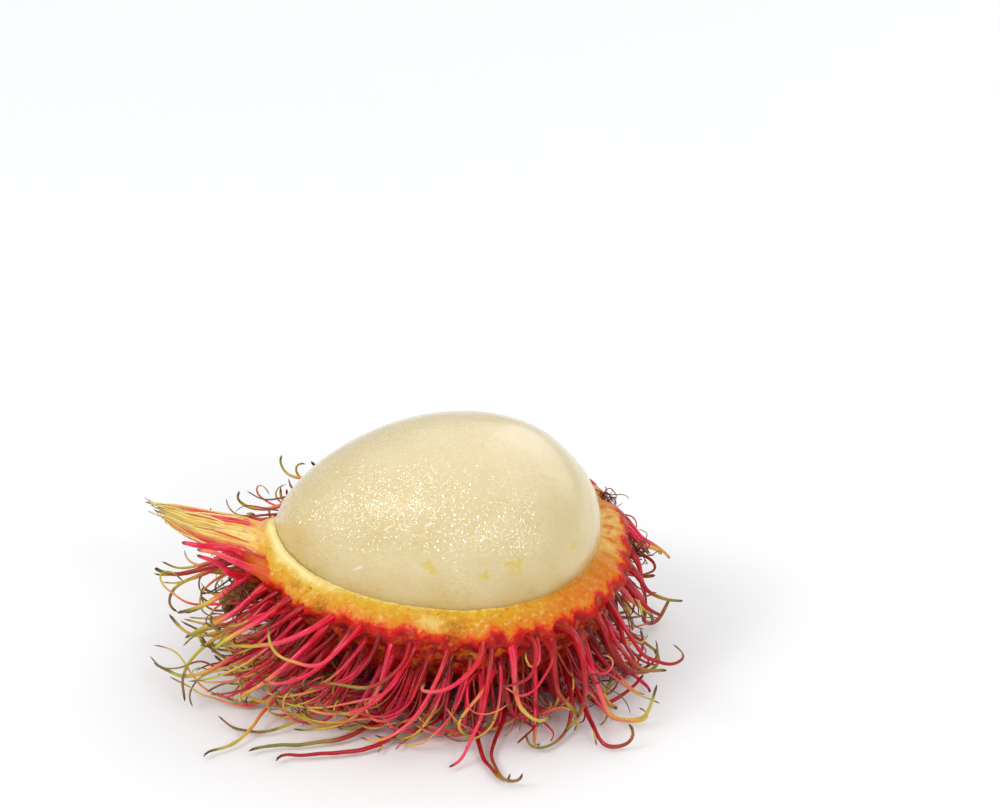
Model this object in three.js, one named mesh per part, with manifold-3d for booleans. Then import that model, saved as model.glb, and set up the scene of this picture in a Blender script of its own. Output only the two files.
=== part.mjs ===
// A rambutan opened for eating: the lower cup of its peel with the soft spines that grow on it, the
// whole white aril sitting in the cup, and the dry stub of the stalk. Millimetres, +Z up, +X along the
// fruit towards its blunt end, and the origin in the middle of the flat spot that the peel rests on.
import * as THREE from "three";
import { mergeVertices } from "three/addons/utils/BufferGeometryUtils.js";
import Module from "manifold-3d";

const wasm = await Module();
wasm.setup();

// Driving dimensions of the fruit.
const FRUIT_LENGTH = 49.2;
const FRUIT_WIDTH = 37.8;
const ARIL_LENGTH = 42.2;
const ARIL_WIDTH = 30.8;
const SEAT_GAP = 0.3; // between the aril and the peel, and between the stub and its socket
const CENTRE = new THREE.Vector3(-4.3, 0, 19.6); // puts the egg's widest point over the origin
const UNDERSIDE_SAG = 1.15; // how far the soft underside gives, which makes the flat spot

// The cut that opened the peel: it leans towards -Y, its face slopes down and outwards, and beside the
// stalk it rises to a lip and then dips. Heights are over the fruit's middle, as shares of its radius.
const CUT_TILT = THREE.MathUtils.degToRad(13);
const CUT_INNER_HEIGHT = 0;
const CUT_OUTER_HEIGHT = -0.07;
const LIP = { angle: Math.PI + 0.1, halfWidth: 0.6, rise: 0.09 };
const FAR_DIP = { angle: Math.PI - 0.65, halfWidth: 0.75, rise: -0.17 };
const CUT_NORMAL = new THREE.Vector3(0, -Math.sin(CUT_TILT), Math.cos(CUT_TILT));

// The stalk's stub, at the narrow end.
const STALK_DIRECTION = new THREE.Vector3(-0.92, -0.18, -0.35).normalize();
const STALK_CLEARANCE = 0.985; // a spine's direction is turned from the stalk's by more than this cosine
const STUB_RADIUS = 2.1;
const STUB_LENGTH = 8;
const STUB_PROUD = 6; // how far it stands out of the peel

// The spines.
const RIM_SPINES = 38;
const RIM_SPINE_HEIGHT = [-0.14, -0.09];
const BODY_SITES = 256; // spread over the whole fruit, of which the cup keeps the lower ones
const BODY_TOP_HEIGHT = -0.24;
const HIGHEST_ROOT = -0.1; // below the edge of the cut, which it follows round
const LOWEST_ROOT = 1.9; // no spine grows under the flat spot
const SPINE_LENGTH = [12.5, 19.2];
const SPINE_RADIUS = [0.42, 0.58];
const SPINE_TIP_SHARE = 0.45; // of the root's radius
const SPINE_SIDES = 4;
const SPINE_PIECES = 5;
const SPINE_STEPS = 24;
const SPINE_ROOT_DEPTH = 0.7;
const SPINE_CURL = 0.9; // most that a tip turns, in radians for each millimetre
const SPINE_CURL_POWER = 1.2; // how late along a spine its curl comes
const PEEL_CLEARANCE = 0.5; // kept from the peel by a spine's line
const FLOOR_CLEARANCE = [0.65, 0.95]; // kept from the floor by a spine's line

// The long spines that stand out from the rest, each from its root to its tip.
const LONG_SPINES = [
  [[-22, -10, 14.5], [-28, -10, 12.5], [-32, -7, 9], [-36, -7, 8.5], [-39, -6, 11]],
  [[-18, -14, 15.5], [-20, -16, 14.5], [-24, -15, 12], [-29, -11, 9], [-35, -8, 7.5]],
  [[-14.5, -16, 15], [-16, -19, 14], [-20, -19, 10.5], [-25, -19, 12.5], [-25.5, -20, 17]],
  [[-12, -16.5, 13.5], [-13, -19.5, 12], [-16, -20, 9], [-21.5, -17, 6.5]],
  [[-8, -17.5, 13.5], [-9, -20.5, 11.5], [-13, -22.5, 9.5], [-19, -23, 10.5]],
  [[-17, -13, 12.5], [-20, -15, 10.5], [-25, -13, 6], [-29, -11, 4], [-31.5, -10, 5]],
  [[-20, -9, 5], [-26, -14, 2.2], [-28.5, -19, 1.2], [-31, -22, 0.8], [-34, -23.5, 0.8], [-34, -24.5, 0.8]],
  [[-7, -10, 2.5], [-8, -16, 1.5], [-12, -22, 0.8], [-18, -24, 0.8], [-24.5, -24.5, 0.8], [-25, -26, 0.8]],
  [[-9, -11, 3], [-12, -16, 1.5], [-17, -20.5, 0.8], [-27.5, -22.5, 0.8], [-28.5, -23.5, 0.8]],
  [[-15, -9, 4], [-19, -13, 2], [-25, -18, 0.8], [-29.5, -18, 0.8], [-32.5, -15.5, 1.5]],
  [[-27.5, -7, 9], [-32, -9, 5.5], [-37, -10, 4], [-41, -9, 5.5]],
  [[-27, -8, 11], [-33, -8, 8.5], [-37, -10, 5], [-37, -12, 1.5]],
  [[1.5, -18.5, 14], [0.5, -22, 12.5], [-3, -25.5, 11], [-6.5, -27, 11.5], [-6, -27.5, 13]],
  [[3.5, -15.5, 8.5], [1, -21.5, 8], [-2, -22.5, 4], [0, -21.5, 1]],
  [[0.5, -11, 2.5], [0, -17, 1.5], [1, -24.5, 0.8], [3, -30.5, 0.8], [5.5, -31.5, 0.8], [6, -32, 2.5]],
  [[5.5, -11, 3], [4, -16, 1.5], [2.5, -22, 0.8], [2.5, -28, 0.8], [4, -31.5, 0.8], [4.5, -32, 2.5]],
  [[7, -18, 16.5], [8, -21.5, 14.5], [7, -25.5, 12.5], [3.5, -28, 12.5]],
  [[11, -16.5, 16.5], [13, -19.5, 15], [14, -22, 10], [13.5, -20, 4], [11.5, -21, 2]],
  [[8.5, -13, 6.5], [8, -17.5, 5], [8, -19, 2], [5.5, -23, 1.5]],
  [[12.5, -9, 5], [12.5, -15, 4], [12, -18.5, 1], [9.5, -22.5, 0.8], [7, -22.5, 0.8], [6.5, -21.5, 2]],
  [[13, -10, 5], [14, -16, 3], [16, -22, 1], [19, -22.5, 0.8], [20.5, -22, 2], [19.5, -22, 3.5]],
  [[14, -11.5, 9.5], [15.5, -16.5, 6.5], [18, -17, 1.5], [22, -16.5, 1.5], [23.5, -14.5, 5]],
  [[17.5, -9, 14.5], [19.5, -15, 13], [22, -19, 11.5], [25, -21.5, 12], [26.5, -23, 14], [25, -23.5, 16]],
  [[16.5, -9.5, 12.5], [18.5, -15, 11], [21, -17.5, 9], [24.5, -19.5, 10]],
  [[19.5, 4, 12], [22.5, 6, 6], [23, 8, 1.5], [25, 10, 1], [26.5, 12, 3]],
];

// The stout fleshy spines beside the tongue.
const STOUT_SPINES = [
  [[-27, -7.5, 18], [-29.5, -8, 19.5], [-32.5, -8.5, 21], [-35, -8, 21.5]],
  [[-28.5, -4, 14.5], [-31, -6, 17], [-33, -7, 19], [-35, -7.5, 20.5]],
  [[-27, -6.5, 18.5], [-30.5, -6.5, 20.5], [-34, -7, 21.5], [-37, -6, 21.5]],
];
const STOUT_RADIUS = [0.7, 0.9];

// The tongue: a torn strip at the stalk end whose spines have grown together.
const TONGUE_SPINES = 7;
const TONGUE_ROOT = { x: -27.5, y: [-5, 3.5], z: 17.8 };
const TONGUE_TIP = { x: [-40.5, -37], y: [-3.2, 1.2], z: [21, 24] };
const TONGUE_RISE = 1.6; // its bow above a straight line
const TONGUE_RADIUS = 1.15;

const EGG = {
  outer: { along: FRUIT_LENGTH / 2, across: FRUIT_WIDTH / 2 },
  inner: { along: ARIL_LENGTH / 2 + SEAT_GAP, across: ARIL_WIDTH / 2 + SEAT_GAP },
  aril: { along: ARIL_LENGTH / 2, across: ARIL_WIDTH / 2 },
};
const MATERIALS = {
  peel: new THREE.MeshStandardMaterial({ name: "peel", color: 0xb81f2c, roughness: 0.45 }),
  aril: new THREE.MeshStandardMaterial({ name: "aril", color: 0xe9dcb3, roughness: 0.3 }),
  stalk: new THREE.MeshStandardMaterial({ name: "stalk", color: 0x6b4a25, roughness: 0.9 }),
};

// How much wider the egg is at a place along it, from -1 at the stalk end to 1 at the blunt end.
function bluntness(along) {
  return 1 + 0.165 * along - 0.03 * along * along;
}

// The point of an egg in a direction from the fruit's middle.
function onEgg(direction, egg) {
  const across = egg.across * bluntness(direction.x);
  return new THREE.Vector3(egg.along * direction.x, across * direction.y, across * direction.z).add(CENTRE);
}

// The direction whose point on the egg is in line with a place.
function towards(place, egg) {
  const from = place.clone().sub(CENTRE).divideScalar(eggLevel(place, egg));
  const across = egg.across * bluntness(from.x / egg.along);
  return new THREE.Vector3(from.x / egg.along, from.y / across, from.z / across).normalize();
}

// 1 on the egg's skin, less inside it and more outside.
function eggLevel(point, egg) {
  const from = point.clone().sub(CENTRE);
  const along = from.x / egg.along;
  const across = Math.hypot(from.y, from.z) / (egg.across * bluntness(THREE.MathUtils.clamp(along, -1, 1)));
  return Math.hypot(along, across);
}

function eggNormal(point, egg) {
  const step = 1e-3;
  const slope = (axis) => {
    const ahead = point.clone().addScaledVector(axis, step);
    const behind = point.clone().addScaledVector(axis, -step);
    return eggLevel(ahead, egg) - eggLevel(behind, egg);
  };
  const axes = [new THREE.Vector3(1, 0, 0), new THREE.Vector3(0, 1, 0), new THREE.Vector3(0, 0, 1)];
  return new THREE.Vector3(...axes.map(slope)).normalize();
}

// Moves every vertex of a geometry to where a function puts it.
function reshape(geometry, move) {
  const position = geometry.attributes.position;
  const vertex = new THREE.Vector3();
  for (let i = 0; i < position.count; i++) {
    const moved = move(vertex.fromBufferAttribute(position, i));
    position.setXYZ(i, moved.x, moved.y, moved.z);
  }
  return geometry;
}

// Repeatable random numbers.
function randomStream(seed) {
  let state = seed;
  const next = () => {
    state = (state * 1664525 + 1013904223) % 4294967296;
    return state / 4294967296;
  };
  const between = (low, high) => low + (high - low) * next();
  const vector = (size) => {
    const [x, y, z] = [1, 2, 3].map(() => between(-size, size));
    return new THREE.Vector3(x, y, z);
  };
  return { next, between, vector };
}

function asSolid(geometry) {
  const plain = geometry.clone();
  plain.deleteAttribute("normal");
  plain.deleteAttribute("uv");
  const merged = mergeVertices(plain, 1e-4);
  const mesh = new wasm.Mesh({
    numProp: 3,
    vertProperties: new Float32Array(merged.attributes.position.array),
    triVerts: new Uint32Array(merged.index.array),
  });
  return new wasm.Manifold(mesh);
}

function asGeometry(solid) {
  const mesh = solid.getMesh();
  const geometry = new THREE.BufferGeometry();
  geometry.setAttribute("position", new THREE.BufferAttribute(new Float32Array(mesh.vertProperties), 3));
  geometry.setIndex(Array.from(mesh.triVerts));
  return geometry;
}

// Crossing spines can seal a speck of air between them: only the outer body is kept.
function withoutSealedHollows(solid) {
  return solid.decompose().reduce((most, body) => (body.volume() > most.volume() ? body : most));
}

// The direction at a height over the cut's middle plane and an angle round it, 0 at the blunt end.
function ringDirection(height, angle) {
  const ring = Math.sqrt(1 - height * height);
  const sideways = new THREE.Vector3(0, Math.cos(CUT_TILT), Math.sin(CUT_TILT));
  return new THREE.Vector3(ring * Math.cos(angle), 0, 0)
    .addScaledVector(sideways, ring * Math.sin(angle))
    .addScaledVector(CUT_NORMAL, height);
}

// How far the cut rises at an angle round the fruit, in its lip and its dip.
function cutRise(angle) {
  const shares = [LIP, FAR_DIP].map(({ angle: middle, halfWidth, rise }) => {
    const away = Math.abs(THREE.MathUtils.euclideanModulo(angle - middle + Math.PI, 2 * Math.PI) - Math.PI);
    return rise * (1 - THREE.MathUtils.smoothstep(away, 0, halfWidth));
  });
  return shares[0] + shares[1];
}

// The same direction, lowered where it would put a spine's root above the edge of the cut.
function underTheCut(direction) {
  const height = direction.dot(CUT_NORMAL);
  const flat = direction.clone().addScaledVector(CUT_NORMAL, -height);
  const angle = Math.atan2(flat.y / Math.cos(CUT_TILT), flat.x);
  return ringDirection(Math.min(height, HIGHEST_ROOT + cutRise(angle)), angle);
}

// The cup of peel: a profile turned about the cut's normal, whose points lie between the two eggs.
function peelCup() {
  const innerRadius = 0.8;
  const profile = [];
  const arc = (radius, topHeight, steps, reversed) => {
    const top = Math.asin(topHeight);
    for (let i = 0; i <= steps; i++) {
      const share = reversed ? 1 - i / steps : i / steps;
      const angle = -Math.PI / 2 + (top + Math.PI / 2) * share;
      profile.push(new THREE.Vector2(Math.max(radius * Math.cos(angle), 0), radius * Math.sin(angle)));
    }
  };
  arc(1, CUT_OUTER_HEIGHT, 12, false);
  arc(innerRadius, CUT_INNER_HEIGHT, 8, true);
  const unitCup = new THREE.LatheGeometry(profile, 40);
  return reshape(unitCup, (vertex) => {
    const radius = vertex.length();
    const layer = (radius - innerRadius) / (1 - innerRadius);
    const angle = Math.atan2(-vertex.z, vertex.x);
    const height = vertex.y / radius;
    const lifted = height + cutRise(angle) * THREE.MathUtils.smoothstep(height, -0.5, CUT_OUTER_HEIGHT);
    const direction = ringDirection(lifted, angle);
    const point = onEgg(direction, EGG.inner).lerp(onEgg(direction, EGG.outer), layer);
    const sag = UNDERSIDE_SAG * layer * THREE.MathUtils.smoothstep(-direction.z, 0.6, 1);
    point.z = Math.max(point.z - sag, 0);
    return point;
  });
}

// A value that runs through given stops, [place, value].
function through(place, stops) {
  const after = stops.findIndex((stop) => stop[0] >= place);
  if (after === 0) return stops[0][1];
  if (after === -1) return stops[stops.length - 1][1];
  const [from, to] = [stops[after - 1], stops[after]];
  return THREE.MathUtils.mapLinear(place, from[0], to[0], from[1], to[1]);
}

function keepClear(point, floor) {
  const guard = { along: EGG.outer.along + PEEL_CLEARANCE, across: EGG.outer.across + PEEL_CLEARANCE };
  const level = eggLevel(point, guard);
  if (level < 1) point.sub(CENTRE).divideScalar(level).add(CENTRE);
  point.z = Math.max(point.z, floor);
  return point;
}

// A spine's line from its root. It leaves the peel square, sags, sweeps along the fruit and curls at the tip.
function grownLine(direction, random) {
  const root = onEgg(direction, EGG.outer);
  const out = eggNormal(root, EGG.outer);
  const along = (root.x - CENTRE.x) / EGG.outer.along;
  const comb = through(along, [[-1, -0.9], [-0.2, -1], [0.25, -0.3], [0.7, 0.4], [1, 0.25]]);
  const sag = through(along, [[-1, 0.5], [-0.5, 0.8], [0.2, 1.15], [0.7, 1.4], [1, 2]]);
  const lift = through(along, [[-1, 0.4], [-0.3, 0.35], [0.3, 0.15], [0.8, 0.2], [1, 0.1]]);
  const size = through(along, [[-1, 0.8], [-0.6, 1.05], [-0.3, 1.15], [0.3, 1], [0.8, 0.85], [1, 0.5]]);
  const length = random.between(...SPINE_LENGTH) * size;
  const floor = random.between(...FLOOR_CLEARANCE);
  const stray = random.vector(1);
  const swing = random.between(0.14, 0.28);
  const turn = random.between(-1, 1);
  const curl = random.between(0.2, 1) ** 1.5 * SPINE_CURL;
  const side = random.next() < 0.7 ? 1 : -1;

  const heading = out.clone().multiplyScalar(random.between(0.75, 1.1));
  heading.add(new THREE.Vector3(comb * 0.25, 0, -sag * 0.6)).addScaledVector(stray, 0.25).normalize();
  const early = out.clone().multiplyScalar(0.3).add(new THREE.Vector3(comb * 0.6, 0, -sag));
  early.addScaledVector(stray, 0.45).normalize();
  const late = out.clone().multiplyScalar(0.15).add(new THREE.Vector3(comb * 1.2, 0, lift));
  late.addScaledVector(new THREE.Vector3(stray.y, stray.z, stray.x), 0.8).normalize();

  const step = length / SPINE_STEPS;
  const points = [root.clone().addScaledVector(out, -SPINE_ROOT_DEPTH), root.clone()];
  let point = keepClear(root, floor);
  let axis = null;
  for (let i = 1; i <= SPINE_STEPS; i++) {
    const share = i / SPINE_STEPS;
    const target = early.clone().lerp(late, THREE.MathUtils.smoothstep(share, 0.2, 0.7)).normalize();
    const held = 1 - THREE.MathUtils.smoothstep(share, 0.55, 0.85);
    heading.lerp(target, swing * step * (0.8 + 0.8 * share) * held).normalize();
    if (share > 0.5) {
      if (!axis) {
        const level = new THREE.Vector3(heading.y, -heading.x, 0).normalize().multiplyScalar(side);
        axis = level.add(new THREE.Vector3(0, 0, turn)).normalize();
      }
      heading.applyAxisAngle(axis, curl * ((share - 0.5) / 0.5) ** SPINE_CURL_POWER * step);
    }
    const next = keepClear(point.clone().addScaledVector(heading, step), floor);
    heading.copy(next).sub(point).normalize();
    points.push(next);
    point = next;
  }
  return points;
}

// A tapered solid along a line, thickest at the root.
function spineGeometry(points, rootRadius, tipShare = SPINE_TIP_SHARE) {
  const curve = new THREE.CatmullRomCurve3(points, false, "centripetal");
  const frames = curve.computeFrenetFrames(SPINE_PIECES, false);
  const cone = new THREE.ConeGeometry(1, 1, SPINE_SIDES, SPINE_PIECES);
  return reshape(cone, (vertex) => {
    const share = vertex.y + 0.5;
    const ring = Math.round(share * SPINE_PIECES);
    const taper = tipShare + (1 - tipShare) * (1 - share);
    const widen = share < 1 ? (rootRadius * taper) / (1 - share) : 0;
    return curve
      .getPointAt(share)
      .addScaledVector(frames.normals[ring], vertex.x * widen)
      .addScaledVector(frames.binormals[ring], -vertex.z * widen);
  });
}

function grownSpines(random) {
  const directions = [];
  for (let i = 0; i < RIM_SPINES; i++) {
    const angle = (2 * Math.PI * (i + random.between(-0.3, 0.3))) / RIM_SPINES;
    directions.push(ringDirection(random.between(...RIM_SPINE_HEIGHT), angle));
  }
  const goldenAngle = Math.PI * (3 - Math.sqrt(5));
  for (let i = 0; i < BODY_SITES; i++) {
    const along = 1 - (2 * (i + 0.5 + random.between(-0.4, 0.4))) / BODY_SITES;
    const ring = Math.sqrt(Math.max(0, 1 - along * along));
    const angle = goldenAngle * i + random.between(-0.12, 0.12) / Math.max(0.2, ring);
    const direction = new THREE.Vector3(along, ring * Math.cos(angle), ring * Math.sin(angle));
    const isClearOfFlatSpot = onEgg(direction, EGG.outer).z > LOWEST_ROOT;
    if (direction.dot(CUT_NORMAL) < BODY_TOP_HEIGHT && isClearOfFlatSpot) directions.push(direction);
  }
  const isClearOfStalk = (direction) => direction.dot(STALK_DIRECTION) < STALK_CLEARANCE;
  return directions.filter(isClearOfStalk).map((direction) => {
    const line = grownLine(underTheCut(direction), random);
    return spineGeometry(line, random.between(...SPINE_RADIUS));
  });
}

function routedSpines(routes, radii, random) {
  return routes.map((route) => {
    const points = route.map((place) => new THREE.Vector3(...place));
    const root = onEgg(underTheCut(towards(points[0], EGG.outer)), EGG.outer);
    points[0] = root;
    points.unshift(root.clone().addScaledVector(eggNormal(root, EGG.outer), -SPINE_ROOT_DEPTH));
    return spineGeometry(points, random.between(...radii));
  });
}

function tongueSpines(random) {
  return Array.from({ length: TONGUE_SPINES }, (_, i) => {
    const share = i / (TONGUE_SPINES - 1);
    const root = new THREE.Vector3(
      TONGUE_ROOT.x,
      THREE.MathUtils.lerp(...TONGUE_ROOT.y, share),
      TONGUE_ROOT.z - 2 * (1 - share),
    );
    const tip = new THREE.Vector3(
      random.between(...TONGUE_TIP.x),
      THREE.MathUtils.lerp(...TONGUE_TIP.y, share),
      THREE.MathUtils.lerp(...TONGUE_TIP.z, share) + random.between(-0.6, 0.6),
    );
    const middle = root.clone().lerp(tip, 0.5).add(new THREE.Vector3(0, 0, TONGUE_RISE));
    return spineGeometry([root, middle, tip], TONGUE_RADIUS, 0.3);
  });
}

// The stub, a slightly tapered drum set square into the peel, grown by extra all over for its socket.
function stalkStub(extra) {
  const foot = onEgg(STALK_DIRECTION, EGG.outer);
  const out = eggNormal(foot, EGG.outer);
  const length = STUB_LENGTH + 2 * extra;
  const stub = new THREE.CylinderGeometry(STUB_RADIUS * 0.8 + extra, STUB_RADIUS + extra, length, 10, 2);
  stub.applyQuaternion(new THREE.Quaternion().setFromUnitVectors(new THREE.Vector3(0, 1, 0), out));
  const middle = foot.addScaledVector(out, STUB_PROUD - STUB_LENGTH / 2);
  return stub.translate(middle.x, middle.y, middle.z);
}

function arilGeometry() {
  const ball = new THREE.SphereGeometry(1, 32, 20);
  return reshape(ball, (vertex) => onEgg(vertex.clone().normalize(), EGG.aril));
}

const rambutan = new THREE.Group();
rambutan.name = "rambutan";

function addPart(name, geometry, material) {
  const part = new THREE.Mesh(geometry, material);
  part.name = name;
  rambutan.add(part);
}

const random = randomStream(7);
const spines = [
  ...grownSpines(random),
  ...routedSpines(LONG_SPINES, SPINE_RADIUS, random),
  ...routedSpines(STOUT_SPINES, STOUT_RADIUS, random),
  ...tongueSpines(random),
];
const grown = wasm.Manifold.union([asSolid(peelCup()), ...spines.map(asSolid)]);
const peel = withoutSealedHollows(grown.subtract(asSolid(stalkStub(SEAT_GAP))));
addPart("peel", asGeometry(peel), MATERIALS.peel);
addPart("aril", arilGeometry(), MATERIALS.aril);
addPart("stalk_stub", stalkStub(0), MATERIALS.stalk);

export default rambutan;
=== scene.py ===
# The looks of an opened rambutan: the lower cup of its spiny peel, the whole wet aril in it and the dry stalk stub,
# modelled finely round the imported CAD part. Lengths are millimetres until a mesh is made, and metres from there on.
import math

import bpy
import numpy as np
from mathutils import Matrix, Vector, noise


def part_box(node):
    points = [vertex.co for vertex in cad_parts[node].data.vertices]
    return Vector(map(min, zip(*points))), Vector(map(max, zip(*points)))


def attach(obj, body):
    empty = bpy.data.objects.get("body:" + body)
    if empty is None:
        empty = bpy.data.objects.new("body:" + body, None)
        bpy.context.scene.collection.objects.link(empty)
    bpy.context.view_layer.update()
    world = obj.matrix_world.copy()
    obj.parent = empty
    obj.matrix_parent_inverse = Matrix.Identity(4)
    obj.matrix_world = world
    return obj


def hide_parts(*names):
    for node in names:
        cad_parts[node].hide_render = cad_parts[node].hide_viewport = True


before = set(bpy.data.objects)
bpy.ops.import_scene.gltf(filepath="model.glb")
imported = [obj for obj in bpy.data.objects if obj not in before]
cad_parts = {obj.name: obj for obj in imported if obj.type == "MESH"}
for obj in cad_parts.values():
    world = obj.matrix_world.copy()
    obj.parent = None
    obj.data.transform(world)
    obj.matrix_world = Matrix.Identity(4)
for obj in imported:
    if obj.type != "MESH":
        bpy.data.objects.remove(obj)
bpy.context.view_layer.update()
MM = 0.001
TURN = 2 * np.pi

# ---- The fruit's measures, as in the CAD part ----
ARIL_BOX = [np.array(corner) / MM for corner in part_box("aril")]
CENTRE = (ARIL_BOX[0] + ARIL_BOX[1]) / 2
ARIL_HALF = (ARIL_BOX[1][0] - ARIL_BOX[0][0]) / 2
ARIL_RADIUS = 15.4
SEAT_GAP = 0.3
RIND = 3.2
UNDERSIDE_SAG = 1.15
EGG_ARIL = (ARIL_HALF, ARIL_RADIUS)
EGG_INNER = (ARIL_HALF + SEAT_GAP, ARIL_RADIUS + SEAT_GAP)
EGG_OUTER = (EGG_INNER[0] + RIND, EGG_INNER[1] + RIND)
WIDENING = (0.165, -0.03)  # how the egg's width grows with the place along it and with its square

CUT_TILT = math.radians(13)
CUT_INNER_HEIGHT = 0.0
CUT_OUTER_HEIGHT = -0.07
# Where the cut's edge rises and dips: the angle, half the width of the place, and the rise.
LIP = (math.pi + 0.1, 0.6, 0.09)
FAR_DIP = (math.pi - 0.65, 0.75, -0.17)
CUT_NORMAL = np.array([0, -math.sin(CUT_TILT), math.cos(CUT_TILT)])
CUT_SIDEWAYS = np.array([0, math.cos(CUT_TILT), math.sin(CUT_TILT)])
STALK_DIRECTION = np.array([-0.92, -0.18, -0.35]) / np.linalg.norm([-0.92, -0.18, -0.35])
STALK_CLEARANCE = 0.985  # a spine's direction is turned from the stalk's by more than this cosine

RIM_SPINES = 38
RIM_SPINE_HEIGHT = (-0.14, -0.09)
BODY_SITES = 256
BODY_TOP_HEIGHT = -0.24
HIGHEST_ROOT = -0.1
LOWEST_ROOT = 1.9
SPINE_LENGTH = (12.5, 19.2)
SPINE_RADIUS = (0.4, 0.55)
SPINE_STEPS = 24
SPINE_ROOT_DEPTH = 0.7
SPINE_CURL = 0.9
SPINE_CURL_POWER = 1.2
PEEL_CLEARANCE = 0.5
FLOOR_CLEARANCE = (0.65, 0.95)
ROUTE_POINTS = 28

# The long spines that stand out from the rest, each from its root to its tip.
LONG_SPINES = [
    [(-22, -10, 14.5), (-28, -10, 12.5), (-32, -7, 9), (-36, -7, 8.5), (-39, -6, 11)],
    [(-18, -14, 15.5), (-20, -16, 14.5), (-24, -15, 12), (-29, -11, 9), (-35, -8, 7.5)],
    [(-14.5, -16, 15), (-16, -19, 14), (-20, -19, 10.5), (-25, -19, 12.5), (-25.5, -20, 17)],
    [(-12, -16.5, 13.5), (-13, -19.5, 12), (-16, -20, 9), (-21.5, -17, 6.5)],
    [(-8, -17.5, 13.5), (-9, -20.5, 11.5), (-13, -22.5, 9.5), (-19, -23, 10.5)],
    [(-17, -13, 12.5), (-20, -15, 10.5), (-25, -13, 6), (-29, -11, 4), (-31.5, -10, 5)],
    [(-20, -9, 5), (-26, -14, 2.2), (-28.5, -19, 1.2), (-31, -22, 0.8), (-34, -23.5, 0.8), (-34, -24.5, 0.8)],
    [(-7, -10, 2.5), (-8, -16, 1.5), (-12, -22, 0.8), (-18, -24, 0.8), (-24.5, -24.5, 0.8), (-25, -26, 0.8)],
    [(-9, -11, 3), (-12, -16, 1.5), (-17, -20.5, 0.8), (-27.5, -22.5, 0.8), (-28.5, -23.5, 0.8)],
    [(-15, -9, 4), (-19, -13, 2), (-25, -18, 0.8), (-29.5, -18, 0.8), (-32.5, -15.5, 1.5)],
    [(-27.5, -7, 9), (-32, -9, 5.5), (-37, -10, 4), (-41, -9, 5.5)],
    [(-27, -8, 11), (-33, -8, 8.5), (-37, -10, 5), (-37, -12, 1.5)],
    [(1.5, -18.5, 14), (0.5, -22, 12.5), (-3, -25.5, 11), (-6.5, -27, 11.5), (-6, -27.5, 13)],
    [(3.5, -15.5, 8.5), (1, -21.5, 8), (-2, -22.5, 4), (0, -21.5, 1)],
    [(0.5, -11, 2.5), (0, -17, 1.5), (1, -24.5, 0.8), (3, -30.5, 0.8), (5.5, -31.5, 0.8), (6, -32, 2.5)],
    [(5.5, -11, 3), (4, -16, 1.5), (2.5, -22, 0.8), (2.5, -28, 0.8), (4, -31.5, 0.8), (4.5, -32, 2.5)],
    [(7, -18, 16.5), (8, -21.5, 14.5), (7, -25.5, 12.5), (3.5, -28, 12.5)],
    [(11, -16.5, 16.5), (13, -19.5, 15), (14, -22, 10), (13.5, -20, 4), (11.5, -21, 2)],
    [(8.5, -13, 6.5), (8, -17.5, 5), (8, -19, 2), (5.5, -23, 1.5)],
    [(12.5, -9, 5), (12.5, -15, 4), (12, -18.5, 1), (9.5, -22.5, 0.8), (7, -22.5, 0.8), (6.5, -21.5, 2)],
    [(13, -10, 5), (14, -16, 3), (16, -22, 1), (19, -22.5, 0.8), (20.5, -22, 2), (19.5, -22, 3.5)],
    [(14, -11.5, 9.5), (15.5, -16.5, 6.5), (18, -17, 1.5), (22, -16.5, 1.5), (23.5, -14.5, 5)],
    [(17.5, -9, 14.5), (19.5, -15, 13), (22, -19, 11.5), (25, -21.5, 12), (26.5, -23, 14), (25, -23.5, 16)],
    [(16.5, -9.5, 12.5), (18.5, -15, 11), (21, -17.5, 9), (24.5, -19.5, 10)],
    [(19.5, 4, 12), (22.5, 6, 6), (23, 8, 1.5), (25, 10, 1), (26.5, 12, 3)],
]
# Those of them that stay dark red to near their tips, by their place in the list.
DARK_LONG_SPINES = (7, 8, 14, 15, 18, 19, 22, 23)
# The stout fleshy spines beside the tongue.
STOUT_SPINES = [
    [(-27, -7.5, 18), (-29.5, -8, 19.5), (-32.5, -8.5, 21), (-35, -8, 21.5)],
    [(-28.5, -4, 14.5), (-31, -6, 17), (-33, -7, 19), (-35, -7.5, 20.5)],
    [(-27, -6.5, 18.5), (-30.5, -6.5, 20.5), (-34, -7, 21.5), (-37, -6, 21.5)],
]
STOUT_RADIUS = (0.68, 0.88)


# ---- Shapes of the fruit ----
def size_of(vectors):
    return np.linalg.norm(vectors, axis=-1)


def unit(vectors):
    return vectors / np.linalg.norm(vectors, axis=-1, keepdims=True)


def eased(value, low, high):
    """value's place between low and high, from 0 to 1, with a soft start and end."""
    share = np.clip((np.asarray(value, float) - low) / (high - low), 0, 1)
    return share * share * (3 - 2 * share)


def bluntness(along):
    """How much wider the egg is at a place along it, from -1 at the stalk end to 1 at the blunt end."""
    return 1 + WIDENING[0] * along + WIDENING[1] * along * along


def on_egg(direction, egg):
    """The point of an egg in a direction from the fruit's middle."""
    across = egg[1] * bluntness(direction[..., 0])
    return CENTRE + direction * np.stack([egg[0] + 0 * across, across, across], -1)


def egg_level(point, egg):
    """1 on the egg's skin, less inside it and more outside."""
    offset = np.asarray(point, float) - CENTRE
    along = offset[..., 0] / egg[0]
    width = egg[1] * bluntness(np.clip(along, -1, 1))
    return np.hypot(along, np.hypot(offset[..., 1], offset[..., 2]) / width)


def egg_normal(point, egg):
    step = 1e-3
    slopes = [egg_level(point + step * axis, egg) - egg_level(point - step * axis, egg) for axis in np.eye(3)]
    return unit(np.stack(slopes, -1))


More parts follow.
